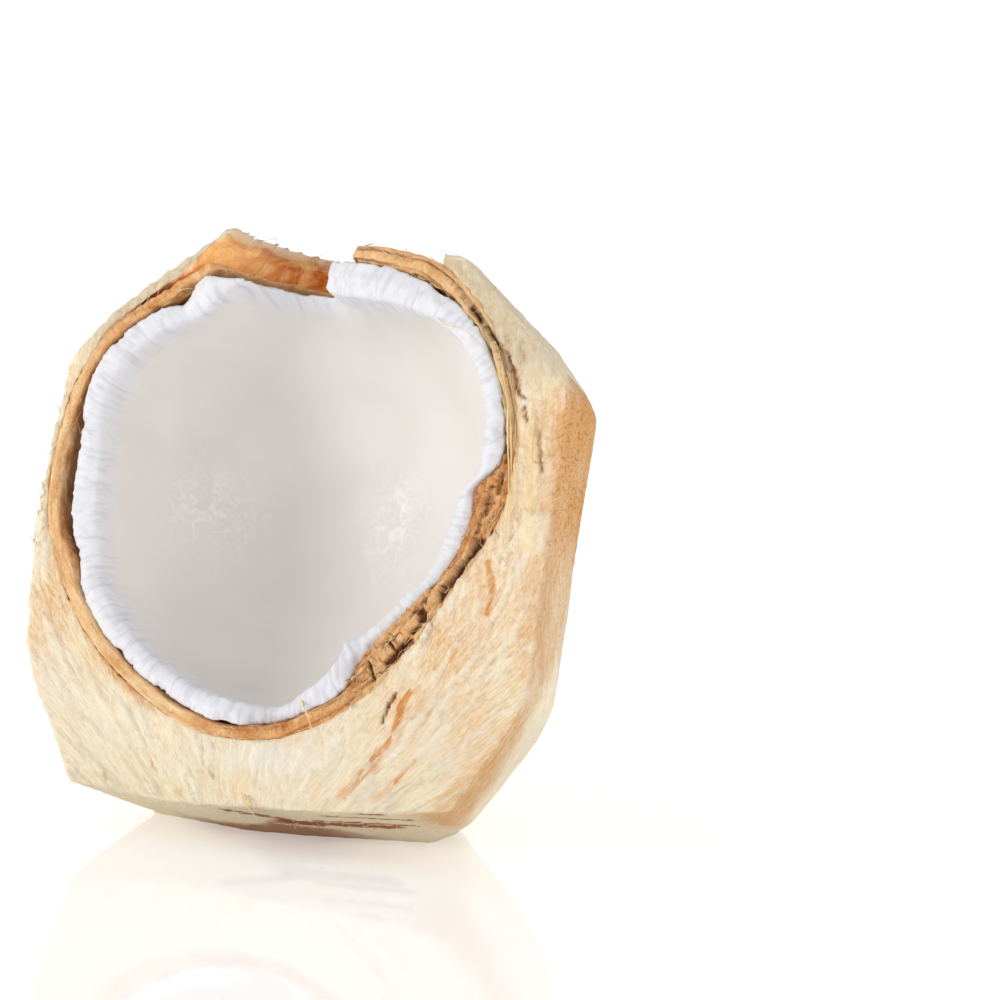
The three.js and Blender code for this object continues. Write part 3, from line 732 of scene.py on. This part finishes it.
def dressed_husk():
    piece = remeshed("husk", "fibrous_husk", voxel=0.95, hidden=husk_unseen, kept=0.08)
    refine(piece, husk_seen_close)
    mesh = piece.data
    points, normals = points_of(mesh), normals_of(mesh)
    face = ramp(-normals[:, 1], 0.6, 0.95) * (1 - ramp(points[:, 1], 0.5, 1.5))
    ground = (from_fruit(points)[:, 2] < 0.15 * MM) & (points[:, 1] > 8)
    angle, distance = around_nut(points)
    outer_edge = ramp(distance - shell_outside(angle), 3, 6)
    relax(mesh, 9, np.where(ground, 0.0, 0.3 + 0.7 * outer_edge))
    face = evened(mesh, face, 5)

    points, normals = points_of(mesh), normals_of(mesh)
    angle, distance = around_nut(points)
    beside = np.maximum(distance - shell_outside(angle), 0)
    closing = by_angle(angle, HUSK_CLOSING) * (1 - ramp(beside, 0.6, 2.6))
    closing *= 1 - ramp(points[:, 1], 3, 6)
    points = moved_out(points, angle, -closing)
    u, v, w = points.T
    hollow = under_nut(points, normals) * (1 - face)
    outside = (1 - face) * (1 - hollow)
    across = face_grain(points)
    across[:, 0] += 0.8 * lumps(points, 8, 5)
    skin = skin_grain(points)
    cone = ramp(w + 2 * lumps(points, 6, 86), SHOULDER - 1, SHOULDER + 7)

    # the face: sheets and flakes of fibre, raised bundles, cracks, and a crust beside the shell
    shaken = points.copy()
    shaken[:, 0] += 0.7 * rough(points, 1.6, 81)
    cracks = gathered(shaken, DARK_STROKES) * face
    flakes = ramp(rough(across, (1.7, 4.6, 3), 12), -0.15, 0.35)
    flakes *= ramp(rough(across, (6, 12, 6), 28, 2), -0.35, 0.25)
    on_face = fibre_relief(points, across, beside, flakes, cracks)
    crust, splits = bark_beside_shell(points, angle, beside)
    ridges = gathered(points, RIDGES)
    on_face += crust
    on_face += 0.55 * evened(mesh, ridges, 6)
    up = w + 0.06 * u + 0.07 * v + 0.6 * lumps(points, 4, 58)
    rim = top_rim(points, normals, up, face)
    # the outside: knife marks and threads; the hollow: soft folds of pith
    on_skin = 0.30 * rough(points, (16, 16, 22), 15, 2) + 0.30 * rough(skin, (1.6, 9, 4), 16)
    on_skin += 0.24 * cone * rough(points, 1.6, 17) - 0.3
    in_hollow = 0.4 * rough(points, 5, 18) + 0.32 * rough(points, 1.6, 19)
    in_hollow += 1.1 * (lumps(points + 3 * lumps(points, 9, 54)[:, None], (7, 5, 3.2), 55) - 0.2)
    relief = face * on_face + outside * on_skin + hollow * in_hollow
    relief = np.where(ground, 0.0, relief * (1 - 0.5 * rim))
    set_points(mesh, points + normals * relief[:, None])

    # the stains and weathering
    at_front = 1 - ramp(v + lumps(points, 3, 4), 2.5, 7.5)
    orange = gathered(points, ORANGE_STROKES, ORANGE_CLOUDS) * at_front * (1 - hollow)
    reach = 1.3 + 0.9 * lumps(points, 6, 6)
    orange = np.maximum(orange, by_angle(angle, NUT_STAIN) * np.exp(-beside / reach) * face)
    side = side_stain(points, face, outside)
    streaky = 0.8 + 0.5 * rough(skin, (3.5, 9, 5), 8)
    under = base_streaks(points, outside)
    left = ramp(-u, 50, 56) * (1 - ramp(v, 3, 9))
    # grey: weathered skin on the cone; greyer low on the outside and on the base strip as painted shade
    weathered_and_shaded = cone * (0.42 + 0.3 * rough(skin, (3, 14, 6), 84, 2))
    weathered_and_shaded += 0.2 * (1 - ramp(w, 20, 27)) + 0.4 * (1 - ramp(w, 0, 4))
    # dark holds cracks, splits and brown base streaks, and painted shade where the base meets the floor
    dark = cracks + 0.95 * ramp(under, 0.25, 0.6) + 0.8 * painted_contact_shade(points, outside)
    dark += splits * face
    # painted shadow: a dark line in the hollow just under the pale rim band
    dark += 0.5 * hollow * ramp(up, RIM_TOP - 1.7, RIM_TOP - 0.7) * (1 - rim)
    mark(mesh,
         # lit marks the painted glow on the upper wall of the hollow
         face=face, hollow=hollow, golden=side, lit=hollow * ramp(w, 101, 105),
         orange=np.clip(np.maximum(orange, side * streaky) + 0.7 * under, 0, 1),
         pale=face * gathered(points, PALE_STROKES, PALE_CLOUDS), straw=0.55 * face * ridges,
         dark=np.clip(dark, 0, 1), rim=np.clip((hollow + outside) * rim, 0, 1),
         grey=np.clip(outside * weathered_and_shaded + 0.6 * face * ramp(w, 84, 92), 0, 1) * (1 - rim),
         green=outside * 0.6 * left * ramp(w, 38, 48) * (1 - ramp(w, 62, 78)),
         bright=hollow * smear(points, (-27, 8, 108), (8, 12, 5)),
         # crust paints the raised flakes near-white, as a painted highlight on them
         bruise=bruised_corner(points, outside), crust=0.55 * face * ramp(flakes, 0.25, 0.75),
         across=across, around=skin)
    mesh.materials.append(cut_husk_fibre())
    return piece


# ---- shell

SHELL_BROWN = [
    # 0 tan, 1 orange-brown, by degrees round the nut
    (0, 1.0), (12, 0.9), (24, 0.3), (45, 0.15), (60, 0.35), (75, 0.3), (95, 0.3), (118, 0.5),
    (128, 0.8), (140, 0.5), (160, 0.15), (190, 0.1), (205, 0.1), (240, 0.05), (255, 0.25),
    (264, 0.9), (275, 1.0), (290, 0.9), (300, 0.7), (310, 0.3), (330, 0.3), (345, 0.7),
]
SHELL_TORN = [
    # how crumbly the break is
    (0, 1.0), (9, 0.8), (18, 0.25), (42, 0.3), (60, 0.5), (85, 0.6), (110, 0.4), (150, 0.35),
    (165, 0.15), (250, 0.1), (262, 0.3), (296, 0.45), (304, 1.0), (350, 1.0),
]
SHELL_HOLES = [
    # deep breaks in the torn part, sunk and painted with shade: path on the split face, width, strength
    ([(35.3, 44.4), (38.0, 48.0), (40.0, 51.9), (40.8, 54.6)], 2.4, 1.0),
    ([(30.7, 40.5), (31.4, 39.1)], 1.5, 1.0),
    ([(31.2, 37.7), (29.7, 36.2)], 0.8, 0.8),
    ([(29.3, 34.4), (27.8, 33.1), (26.8, 31.2), (25.6, 29.9)], 1.3, 0.8),
    ([(24.2, 34.3), (26.0, 33.1), (27.0, 31.2)], 0.45, 0.8),
    ([(21.0, 29.7), (22.2, 27.8), (23.2, 26.0)], 0.45, 0.8),
    ([(41.9, 66.0), (41.0, 60.0), (39.6, 55.6)], 1.0, 0.6),
    ([(44.7, 73.2), (44.3, 69.2), (44.0, 65.0)], 0.9, 0.7),
    ([(32.4, 100.4), (35.0, 98.2), (38.9, 95.4), (40.9, 93.0), (43.0, 89.1)], 0.7, 0.9),
]
SHELL_CLOSING = [
    # how far its inner edge leans over the gap beside the kernel
    (0, 0.6), (30, 0.4), (50, 0.6), (120, 0.5), (150, 0.2), (165, 0.0), (200, 0.1), (215, 0.4), (300, 0.6),
]
SHELL_LAYERS = [
    # how clearly its layers part
    (0, 0.4), (18, 0.7), (30, 1.0), (86, 1.0), (100, 0.5), (150, 0.2), (260, 0.3), (300, 0.6),
]
SHELL_LIP = [
    # how dark its inner edge is
    (0, 0.5), (30, 0.2), (60, 0.3), (120, 0.6), (160, 0.8), (200, 0.8), (212, 0.35), (235, 0.35),
    (255, 0.8), (275, 0.8), (300, 0.3), (340, 0.3),
]
SHELL_SEAMS = (-0.7, -1.5, -2.3, -3.2)  # how deep in the shell its layers part
BLOND = [(14, 0), (22, 1), (44, 1), (54, 0)]  # where its layers are paler


def shell_unseen(points, _):
    return (points[:, 1] > 7) & (points[:, 2] < 98)


def shell_seen_close(centres):
    """Its torn edge, at the split face and where it stands bare in the top."""
    v, w = centres[:, 1], centres[:, 2]
    return (v < 4.5) | ((w > 101) & (v < 12))


def layer_seams(points, layers, angle):
    """Thin splits between the shell's layers, which wander and come and go."""
    seams = np.zeros(len(points))
    for layer, depth in enumerate(SHELL_SEAMS):
        along = round_nut(angle, np.full(len(points), depth))
        wander = depth + 0.55 * lumps(along, 9, 60 + layer)
        parted = np.abs(layers[:, 2] - wander + 0.1 * lumps(points, 1, 64))
        open_here = ramp(lumps(along, (7, 7, 9), 70 + layer), -0.4, 0.1)
        seams = np.maximum(seams, (1 - ramp(parted, 0.05, 0.3)) * open_here)
    return seams


def dressed_shell():
    piece = remeshed("shell", "torn_shell", voxel=0.6, hidden=shell_unseen, kept=0.06)
    refine(piece, shell_seen_close)
    mesh = piece.data
    relax(mesh, 4)
    points, normals = points_of(mesh), normals_of(mesh)
    angle, distance = around_nut(points)
    outer, inner = shell_outside(angle), shell_inside(angle)
    swell = np.where(distance > (outer + inner) / 2, 0.45, -by_angle(angle, SHELL_CLOSING))
    swell *= 1 - ramp(points[:, 1], 4, 8)
    points = moved_out(points, angle, swell)
    u, v, w = points.T
    front = 1 - ramp(v, 3.0, 6.5)
    top_edge = ramp(w, HOLE_BOTTOM - 4, HOLE_BOTTOM - 1) * ramp(v, 2, 4)
    bare = ramp(w, 104, 107) * ramp(u, 2, 6) * (1 - ramp(v, 13, 17))
    torn = by_angle(angle, SHELL_TORN) * np.maximum(front, bare)
    layers = round_nut(angle, distance - outer + 0.4 * v)
    relief = 0.20 * rough(layers, (8, 8, 0.9), 21) + 0.14 * rough(points, 1.4, 22)
    relief += torn * (0.4 * rough(layers, (6, 6, 1.6), 23) + 0.55 * rough(points, 2.6, 24, 2)
                      + 0.4 * rough(points, 1.0, 65))
    holes = gathered(points, SHELL_HOLES) * front
    crumbs = ramp(-np.abs(rough(points, 3.2, 50)), -0.06, 0.0) * ramp(torn, 0.5, 0.9)
    relief -= 1.1 * holes + 0.35 * crumbs
    seams = layer_seams(points, layers, angle)
    relief -= 0.5 * seams * (0.3 + 0.7 * by_angle(angle, SHELL_LAYERS))
    relief *= np.clip(front + top_edge + bare, 0, 1)
    set_points(mesh, points + normals * relief[:, None])

    inward = (outer - distance) / np.maximum(outer - inner, 1)
    lip = ramp(inward + 0.12 * lumps(points, 2, 26), 0.62, 0.95) * by_angle(angle, SHELL_LIP)
    # painted shade: darker where the relief sinks, and in the seams, holes and crumbs of the break
    crevice = 0.8 * ramp(-relief, 0.3, 1.1) * (0.35 + 0.65 * torn)
    crevice += 0.55 * seams * by_angle(angle, SHELL_LAYERS) + 0.75 * holes + 0.5 * crumbs
    mark(mesh,
         crevice=np.clip(crevice, 0, 1) * (1 - ramp(v, 12, 17)),
         brown=np.clip(by_angle(angle, SHELL_BROWN) + 0.25 * rough(points, 4, 27), 0, 1),
         lip=np.clip(lip, 0, 1) * front,
         deep=0.8 * ramp(v, 2.5, 6.0) * (1 - top_edge) * (1 - bare),
         blond=np.clip(0.7 * by_angle(angle, BLOND) * front + 0.2 * top_edge, 0, 1),
         grain=layers)
    mesh.materials.append(torn_young_shell())
    return piece


# ---- kernel

def kernel_unseen(points, _):
    """Its outside, where it lies against the shell."""
    angle, distance = around_nut(points)
    reach = np.hypot(distance / shell_inside(angle), points[:, 1] / (NUT_DEPTH - 3))
    return (reach > 0.96) & (points[:, 1] > 9) & (points[:, 2] < 99)


def kernel_seen_close(centres):
    """Its broken edge, at the split face and at the hole in the top."""
    v, w = centres[:, 1], centres[:, 2]
    angle, distance = around_nut(centres)
    return ((v < 6.5) & (distance > kernel_inside(angle) - 1.5)) | ((w > 101) & (v < 14))


def rounded_bowl(mesh):
    """The kernel's points, with the facets at the hollow's deepest place made one curve."""
    points = points_of(mesh)
    angle, distance = around_nut(points)
    way_out = distance / kernel_inside(angle)
    bowl = (normals_of(mesh)[:, 1] < 0) & (points[:, 1] > 22)
    sound = bowl & (way_out > 0.2) & (way_out < 0.6)
    curve = np.polyfit(way_out[sound] ** 2, points[sound, 1], 3)
    even = np.polyval(curve, way_out ** 2) - points[:, 1]
    points[:, 1] += np.where(bowl, even * (1 - ramp(way_out, 0.25, 0.55)), 0)
    return points


def dressed_kernel():
    piece = remeshed("kernel", "white_kernel", voxel=0.66, hidden=kernel_unseen, kept=0.05)
    refine(piece, kernel_seen_close)
    mesh = piece.data
    points = points_of(mesh)
    angle, distance = around_nut(points)
    inner_edge = 1 - ramp(distance - kernel_inside(angle), 0.8, 3.2)
    relax(mesh, 60, np.clip(0.03 + 0.97 * ramp(points[:, 1], 4.0, 10.0) + 0.3 * inner_edge, 0, 1))
    points = rounded_bowl(mesh)
    angle, distance = around_nut(points)
    set_points(mesh, points)
    normals = normals_of(mesh)
    v, w = points[:, 1], points[:, 2]
    top_edge = ramp(w, HOLE_BOTTOM - 5, HOLE_BOTTOM - 1) * ramp(v, 2, 4)
    broken = np.clip(1 - ramp(v, 2.0, 8.0) + top_edge, 0, 1)
    crystals = round_nut(angle + 0.015 * lumps(points, 5, 30), distance + 0.6 * v)
    relief = 0.12 * rough(crystals, (1.7, 1.7, 9), 31) + 0.06 * rough(crystals, (0.8, 0.8, 4), 32)
    relief *= 0.5 + 0.5 * lumps(points, 14, 39)
    relief += 0.30 * rough(crystals, (5, 5, 14), 37)
    relief += 0.18 * rough(points, 1.5, 33) + 0.42 * rough(points, 6, 38)
    outer = ramp(distance - (shell_inside(angle) - 3.2), 0, 2.2)
    relief -= 0.5 * ramp(rough(crystals, (3.6, 3.6, 30), 34), 0.15, 0.5) * outer
    relief *= broken
    relief += 0.12 * (1 - broken) * rough(points, 9, 35)
    set_points(mesh, points + normals * relief[:, None])

    # the wet patches, which the flesh's material also paints lighter as a painted sheen
    film = np.maximum(smear(points, (-34, 26, 59), (11, 9, 9)), smear(points, (6, 34, 61), (8, 8, 9)))
    way_in = v + 1.5 * lumps(points, 4, 36)
    mark(mesh,
         edge=np.clip(1 - ramp(way_in, 2.5, 8.5) + top_edge, 0, 1),
         skin=ramp(distance - (shell_inside(angle) - 1.4), 0, 1.0) * ramp(v, 1.5, 4),
         wet=film * ramp(v, 9, 14),
         grain=crystals)
    mesh.materials.append(fresh_coconut_flesh())
    return piece


# ---- loose fibres

def strands(name, paths, radius, material):
    """Thin tapering strands as one piece; a path is a few points in the fruit's frame."""
    curve = bpy.data.curves.new(name, "CURVE")
    curve.dimensions = "3D"
    curve.bevel_depth = radius * MM
    curve.bevel_resolution = 0
    curve.use_fill_caps = True
    low, high = np.array(cad_box[0]) + radius * MM, np.array(cad_box[1]) - radius * MM
    for path in paths:
        spline = curve.splines.new("POLY")
        spline.points.add(len(path) - 1)
        place = np.ones((len(path), 4))
        place[:, :3] = np.clip(from_fruit(np.array(path, float)), low, high)
        spline.points.foreach_set("co", place.ravel())
        spline.points.foreach_set("radius", np.linspace(1.0, 0.35, len(path)))
    shaped = placed(name, curve)
    graph = bpy.context.evaluated_depsgraph_get()
    mesh = bpy.data.meshes.new_from_object(shaped.evaluated_get(graph))
    bpy.data.objects.remove(shaped)
    bpy.data.curves.remove(curve)
    mesh.name = name
    piece = placed(name, mesh)
    piece.data.materials.clear()
    piece.data.materials.append(material)
    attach(piece, "root")


def sprouting(mesh, chance, count, along, length, lift, seed, stray):
    """Paths of fibres that come out of a surface and lie along its grain."""
    dice = np.random.default_rng(seed)
    points, normals = points_of(mesh), normals_of(mesh)
    chance = chance(points, normals)
    roots = dice.choice(len(points), count, p=chance / chance.sum())
    way = along(points[roots])
    way *= np.where(dice.random(count) < 0.5, -1.0, 1.0)[:, None]
    way += stray * dice.normal(size=(count, 3))
    way -= normals[roots] * np.sum(way * normals[roots], 1)[:, None]
    way /= np.linalg.norm(way, axis=1)[:, None]
    bend = np.cross(way, normals[roots]) * dice.normal(0, 0.35, (count, 1))
    reach = dice.uniform(*length, (count, 1))
    rise = dice.uniform(0.2, 1.0, (count, 1)) * lift
    steps = [points[roots] - 0.12 * normals[roots]]
    for t in (0.25, 0.5, 0.75, 1.0):
        steps.append(points[roots] + reach * (way * t + bend * t * t) + normals[roots] * rise * t ** 1.5)
    return list(np.stack(steps, 1))


def up_the_face(points):
    """The way that the split face's fibres run."""
    rise = np.maximum((points[:, 2] - FIBRE_ROOT) / FIBRE_SPREAD, 0.05)
    slope = points[:, 0] / (rise * (1 + rise ** 6) * FIBRE_SPREAD)
    way = np.stack([slope, np.zeros(len(points)), np.ones(len(points))], 1)
    return way / np.linalg.norm(way, axis=1)[:, None]


def round_the_nut(points):
    angle = around_nut(points)[0]
    return np.stack([-np.sin(angle), np.zeros(len(points)), np.cos(angle)], 1)


def up_the_skin(points):
    return np.tile([0.0, 0.15, 1.0], (len(points), 1))


def smooth_path(knots, steps=5):
    """A path that passes smoothly through given points."""
    knots = np.array(knots, float)
    ends = np.vstack([2 * knots[0] - knots[1], knots, 2 * knots[-1] - knots[-2]])
    path = []
    for a, b, c, d in zip(ends, ends[1:], ends[2:], ends[3:]):
        for t in np.arange(steps) / steps:
            path.append(0.5 * (2 * b + (c - a) * t + (2 * a - 5 * b + 4 * c - d) * t * t
                               + (3 * b - a - 3 * c + d) * t ** 3))
    return path + [knots[-1]]


LONG_STRANDS = [
    # u, v, w of points along each strand, front surfaces being near v = 0
    [(41.2, -0.3, 89.4), (43.6, -0.7, 83.0), (45.0, -0.9, 75.0), (46.6, -0.7, 66.0), (46.9, -0.1, 57.0)],
    [(42.4, -0.2, 87.4), (44.8, -0.6, 79.0), (46.4, -0.6, 70.0), (47.6, -0.3, 60.0)],
    [(49.6, -0.1, 80.5), (50.4, -0.6, 74.0), (51.2, -0.5, 66.0), (52.8, 0.0, 57.0)],
    [(7.6, 1.0, 20.8), (9.4, -0.6, 19.0), (11.0, -0.9, 16.8), (11.6, -0.5, 14.6), (13.2, 0.0, 12.2)],
    [(-2.2, 0.0, 1.2), (-0.9, -0.9, -0.6), (0.4, -0.8, -2.2), (2.0, 0.4, -3.6)],
    [(-0.6, 0.0, 0.9), (0.6, -0.8, -0.8), (1.4, -0.4, -2.0)],
]
RIM_HAIR = [
    [(24.2, 1.4, 98.9), (28.2, -1.6, 96.9), (32.8, -1.8, 95.8), (37.7, -1.5, 92.2),
     (41.2, -1.2, 86.8), (43.3, -0.8, 81.0), (44.6, 0.2, 76.0)],
]
POCKET_CURLS = [
    [(-21.4, 21.0, 106.4), (-18.6, 19.6, 108.0), (-16.0, 18.4, 109.8), (-13.6, 16.6, 111.2)],
    [(-27.4, 15.0, 105.2), (-24.6, 14.6, 107.4), (-22.4, 14.0, 110.0)],
    [(-17.6, 19.4, 111.0), (-15.6, 18.2, 110.2), (-13.4, 16.8, 110.9), (-13.0, 16.6, 109.6)],
    [(-24.0, 18.8, 106.0), (-21.0, 19.0, 108.6), (-19.4, 18.0, 110.6)],
    [(-36.0, 4.2, 101.6), (-34.2, 3.2, 103.6), (-33.6, 3.4, 101.6), (-35.0, 3.6, 100.4)],
    [(-30.6, 6.0, 105.4), (-29.2, 4.6, 105.0), (-28.2, 5.2, 103.8)],
]
TOP_HAIRS = [
    [(31.5, 5.5, 105.0), (30.6, 5.0, 107.6), (28.6, 4.4, 110.2), (25.4, 3.8, 111.8), (22.0, 3.4, 112.4)],
    [(28.4, 5.0, 106.4), (26.6, 4.6, 107.6), (24.6, 4.2, 109.2)],
    [(26.0, 4.0, 107.0), (23.8, 3.6, 108.6), (22.6, 3.2, 109.8)],
]


# how likely a fibre is to grow at each point

def on_face(points, normals):
    angle, distance = around_nut(points)
    beside = np.exp(-np.abs(distance - shell_outside(angle)) / 6)
    return (normals[:, 1] < -0.7) * (points[:, 1] < 0.8) * (0.35 + beside + 0.8 * (points[:, 2] < 6))


def on_left_skin(points, _):
    u, v, w = points.T
    beside = (u < -48) * (v < 7) * (v > -0.2)
    return beside * ramp(w, 36, 50) * (1 - ramp(w, 72, 86)) + 1e-9


def on_cone(points, _):
    u, v, w = points.T
    return (w > SHOULDER) * (np.hypot(u, v) > 22) * (v < 50) + 1e-9


def on_base(points, _):
    v, w = points[:, 1], points[:, 2]
    return (w < 1.0) * (v < 12) * (v > 0.2) + 1e-9


def in_pocket(points, normals):
    return under_nut(points, normals) * (points[:, 2] > 101) * (points[:, 1] < 30) + 1e-9


def on_shell(points, normals):
    ragged = 0.25 + by_angle(around_nut(points)[0], SHELL_TORN)
    return (points[:, 1] < 3.5) * ragged * (normals[:, 1] < 0.3) + 1e-9


def on_torn(points, normals):
    torn = ramp(by_angle(around_nut(points)[0], SHELL_TORN), 0.4, 0.9)
    return (points[:, 1] < 4.5) * torn * (normals[:, 1] < 0.2) + 1e-9


def fringe(dressed):
    """All the loose fibre: fuzz on the cuts, tatters round the shell, a few long strands."""
    pale = loose_fibre("dry_pale_coir", "#E9D3A6", "#F8EED6")
    straw = loose_fibre("straw_coir", "#E2BE84", "#F2DAA6")
    rust = loose_fibre("rusty_coir", "#B06A2C", "#E0A662")
    smoke = loose_fibre("grey_coir", "#A89A80", "#D6CBB2")
    grown = (
        # piece, what it grows on, where, how many, which way, lengths in mm, how far it lifts,
        # seed, how much it strays, radius in mm, fibre
        ("face_fuzz", "husk", on_face, 700, up_the_face, (0.8, 2.6), 0.45, 1, 0.35, 0.055, pale),
        ("left_fuzz", "husk", on_left_skin, 120, up_the_skin, (1.2, 3.2), 0.8, 2, 0.35, 0.045, smoke),
        ("cone_wool", "husk", on_cone, 400, up_the_skin, (0.6, 1.6), 0.35, 3, 0.35, 0.045, pale),
        ("base_fuzz", "husk", on_base, 160, up_the_skin, (0.8, 2.5), 0.6, 4, 0.35, 0.06, pale),
        ("pocket_fibres", "husk", in_pocket, 90, up_the_skin, (2.0, 7.0), 0.7, 5, 0.35, 0.08, straw),
        ("shell_tatters", "shell", on_shell, 300, round_the_nut, (1.0, 4.0), 0.3, 6, 0.12, 0.08, straw),
        ("torn_splinters", "shell", on_torn, 90, round_the_nut, (0.8, 2.4), 0.35, 7, 0.15, 0.15, rust),
    )
    for name, node, chance, count, along, length, lift, seed, stray, radius, material in grown:
        paths = sprouting(dressed[node].data, chance, count, along, length, lift, seed, stray)
        strands(name, paths, radius, material)
    for name, laid, radius, material in (
            ("long_strands", LONG_STRANDS, 0.22, straw), ("rim_hair", RIM_HAIR, 0.12, straw),
            ("top_hairs", TOP_HAIRS, 0.1, smoke), ("pocket_curls", POCKET_CURLS, 0.18, straw)):
        strands(name, [smooth_path(knots) for knots in laid], radius, material)


dressed = {"husk": dressed_husk(), "shell": dressed_shell(), "kernel": dressed_kernel()}
fringe(dressed)
for node, piece in dressed.items():
    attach(piece, "root")
    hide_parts(node)


# ---- floor, light and camera, in metres

# the board from its middle outwards: how far out, how high
BOARD_PROFILE = [(0.0, 0.0), (2.2, 0.0), (2.6, 0.06), (2.9, 0.25), (3.05, 0.6), (3.1, 1.4)]
MIDDLE = (0, 0, 0.06)  # of the half
VIEW_TURN = math.radians(28.87)  # to the right of the half's front
VIEW_BASE = (0, -0.005, 0)
VIEW_DISTANCE, VIEW_HEIGHT = 1.0, 0.24194
AIM_RIGHT, AIM_HEIGHT = 0.0355, 0.06537
LENS = 183.24  # in millimetres, for a sensor 36 wide


def white_gloss_board():
    """Glossy white acrylic. The eye gets a faint mirror image that fades into white."""
    return new_material("white_gloss_board", {
        "Base Color": linear("#FAFAFA"), "Roughness": 0.06, "Specular IOR Level": 0.5,
        "Emission Color": linear("#FFFFFF"), "Emission Strength": 0.25})[0]


def staged_floor():
    """A round white board whose rim curves up, so that no horizon shows."""
    bm = bmesh.new()
    profile = [bm.verts.new((r, 0, z)) for r, z in BOARD_PROFILE]
    edges = [bm.edges.new(pair) for pair in zip(profile[:-1], profile[1:])]
    bmesh.ops.spin(bm, geom=profile + edges, cent=(0, 0, 0), axis=(0, 0, 1), angle=2 * math.pi,
                   steps=64, use_merge=True)
    bmesh.ops.remove_doubles(bm, verts=bm.verts, dist=0.001)
    bmesh.ops.recalc_face_normals(bm, faces=bm.faces)
    for face in bm.faces:
        face.smooth = True
        if face.normal.z < 0:
            face.normal_flip()
    mesh = bpy.data.meshes.new("board")
    bm.to_mesh(mesh)
    bm.free()
    mesh.materials.append(white_gloss_board())
    board = placed("board", mesh)


def look(thing, place, aim):
    """Puts a lamp or the camera in its place and points it."""
    thing.location = place
    thing.rotation_euler = (aim - place).to_track_quat("-Z", "Y").to_euler()


def area_light(name, place, size, power, colour):
    """A round soft light that looks at the half's middle; power in watts."""
    light = bpy.data.lights.new(name, "AREA")
    light.shape = "DISK"
    light.size = size
    light.energy = power
    light.color = linear(colour)[:3]
    look(placed(name, light), Vector(place), Vector(MIDDLE))


def white_room():
    """Even white light from all round, a little weaker from overhead."""
    world = bpy.data.worlds.new("white_room")
    world.use_nodes = True
    tree = world.node_tree
    way = add(tree, "ShaderNodeTexCoord").outputs["Generated"]
    up = add(tree, "ShaderNodeSeparateXYZ", {"Vector": way}).outputs["Z"]
    strength = add(tree, "ShaderNodeMapRange", {"Value": up, "From Min": 0.25, "From Max": 0.9,
                                                "To Min": 0.8, "To Max": 0.55})
    sky = tree.nodes["Background"]
    sky.inputs["Color"].default_value = (1, 1, 1, 1)
    tree.links.new(strength.outputs[0], sky.inputs["Strength"])
    bpy.context.scene.world = world


def camera():
    """The viewpoint: to the right of the half's front and a little above it."""
    away = Vector((math.sin(VIEW_TURN), -math.cos(VIEW_TURN), 0))
    right = Vector((math.cos(VIEW_TURN), math.sin(VIEW_TURN), 0))
    data = bpy.data.cameras.new("camera")
    data.sensor_width = 36
    data.lens = LENS
    data.clip_end = 50
    place = Vector(VIEW_BASE) + away * VIEW_DISTANCE + Vector((0, 0, VIEW_HEIGHT))
    aim = Vector(VIEW_BASE) + right * AIM_RIGHT + Vector((0, 0, AIM_HEIGHT))
    bpy.context.scene.camera = placed("camera", data)
    look(bpy.context.scene.camera, place, aim)


staged_floor()
camera()
area_light("key", (-0.95, -0.8, 0.30), size=0.35, power=6.0, colour="#FFFBF4")
area_light("fill", (1.1, -0.35, 0.25), size=0.6, power=2.2, colour="#FFF6EC")
white_room()
bpy.context.scene.view_settings.view_transform = "Standard"
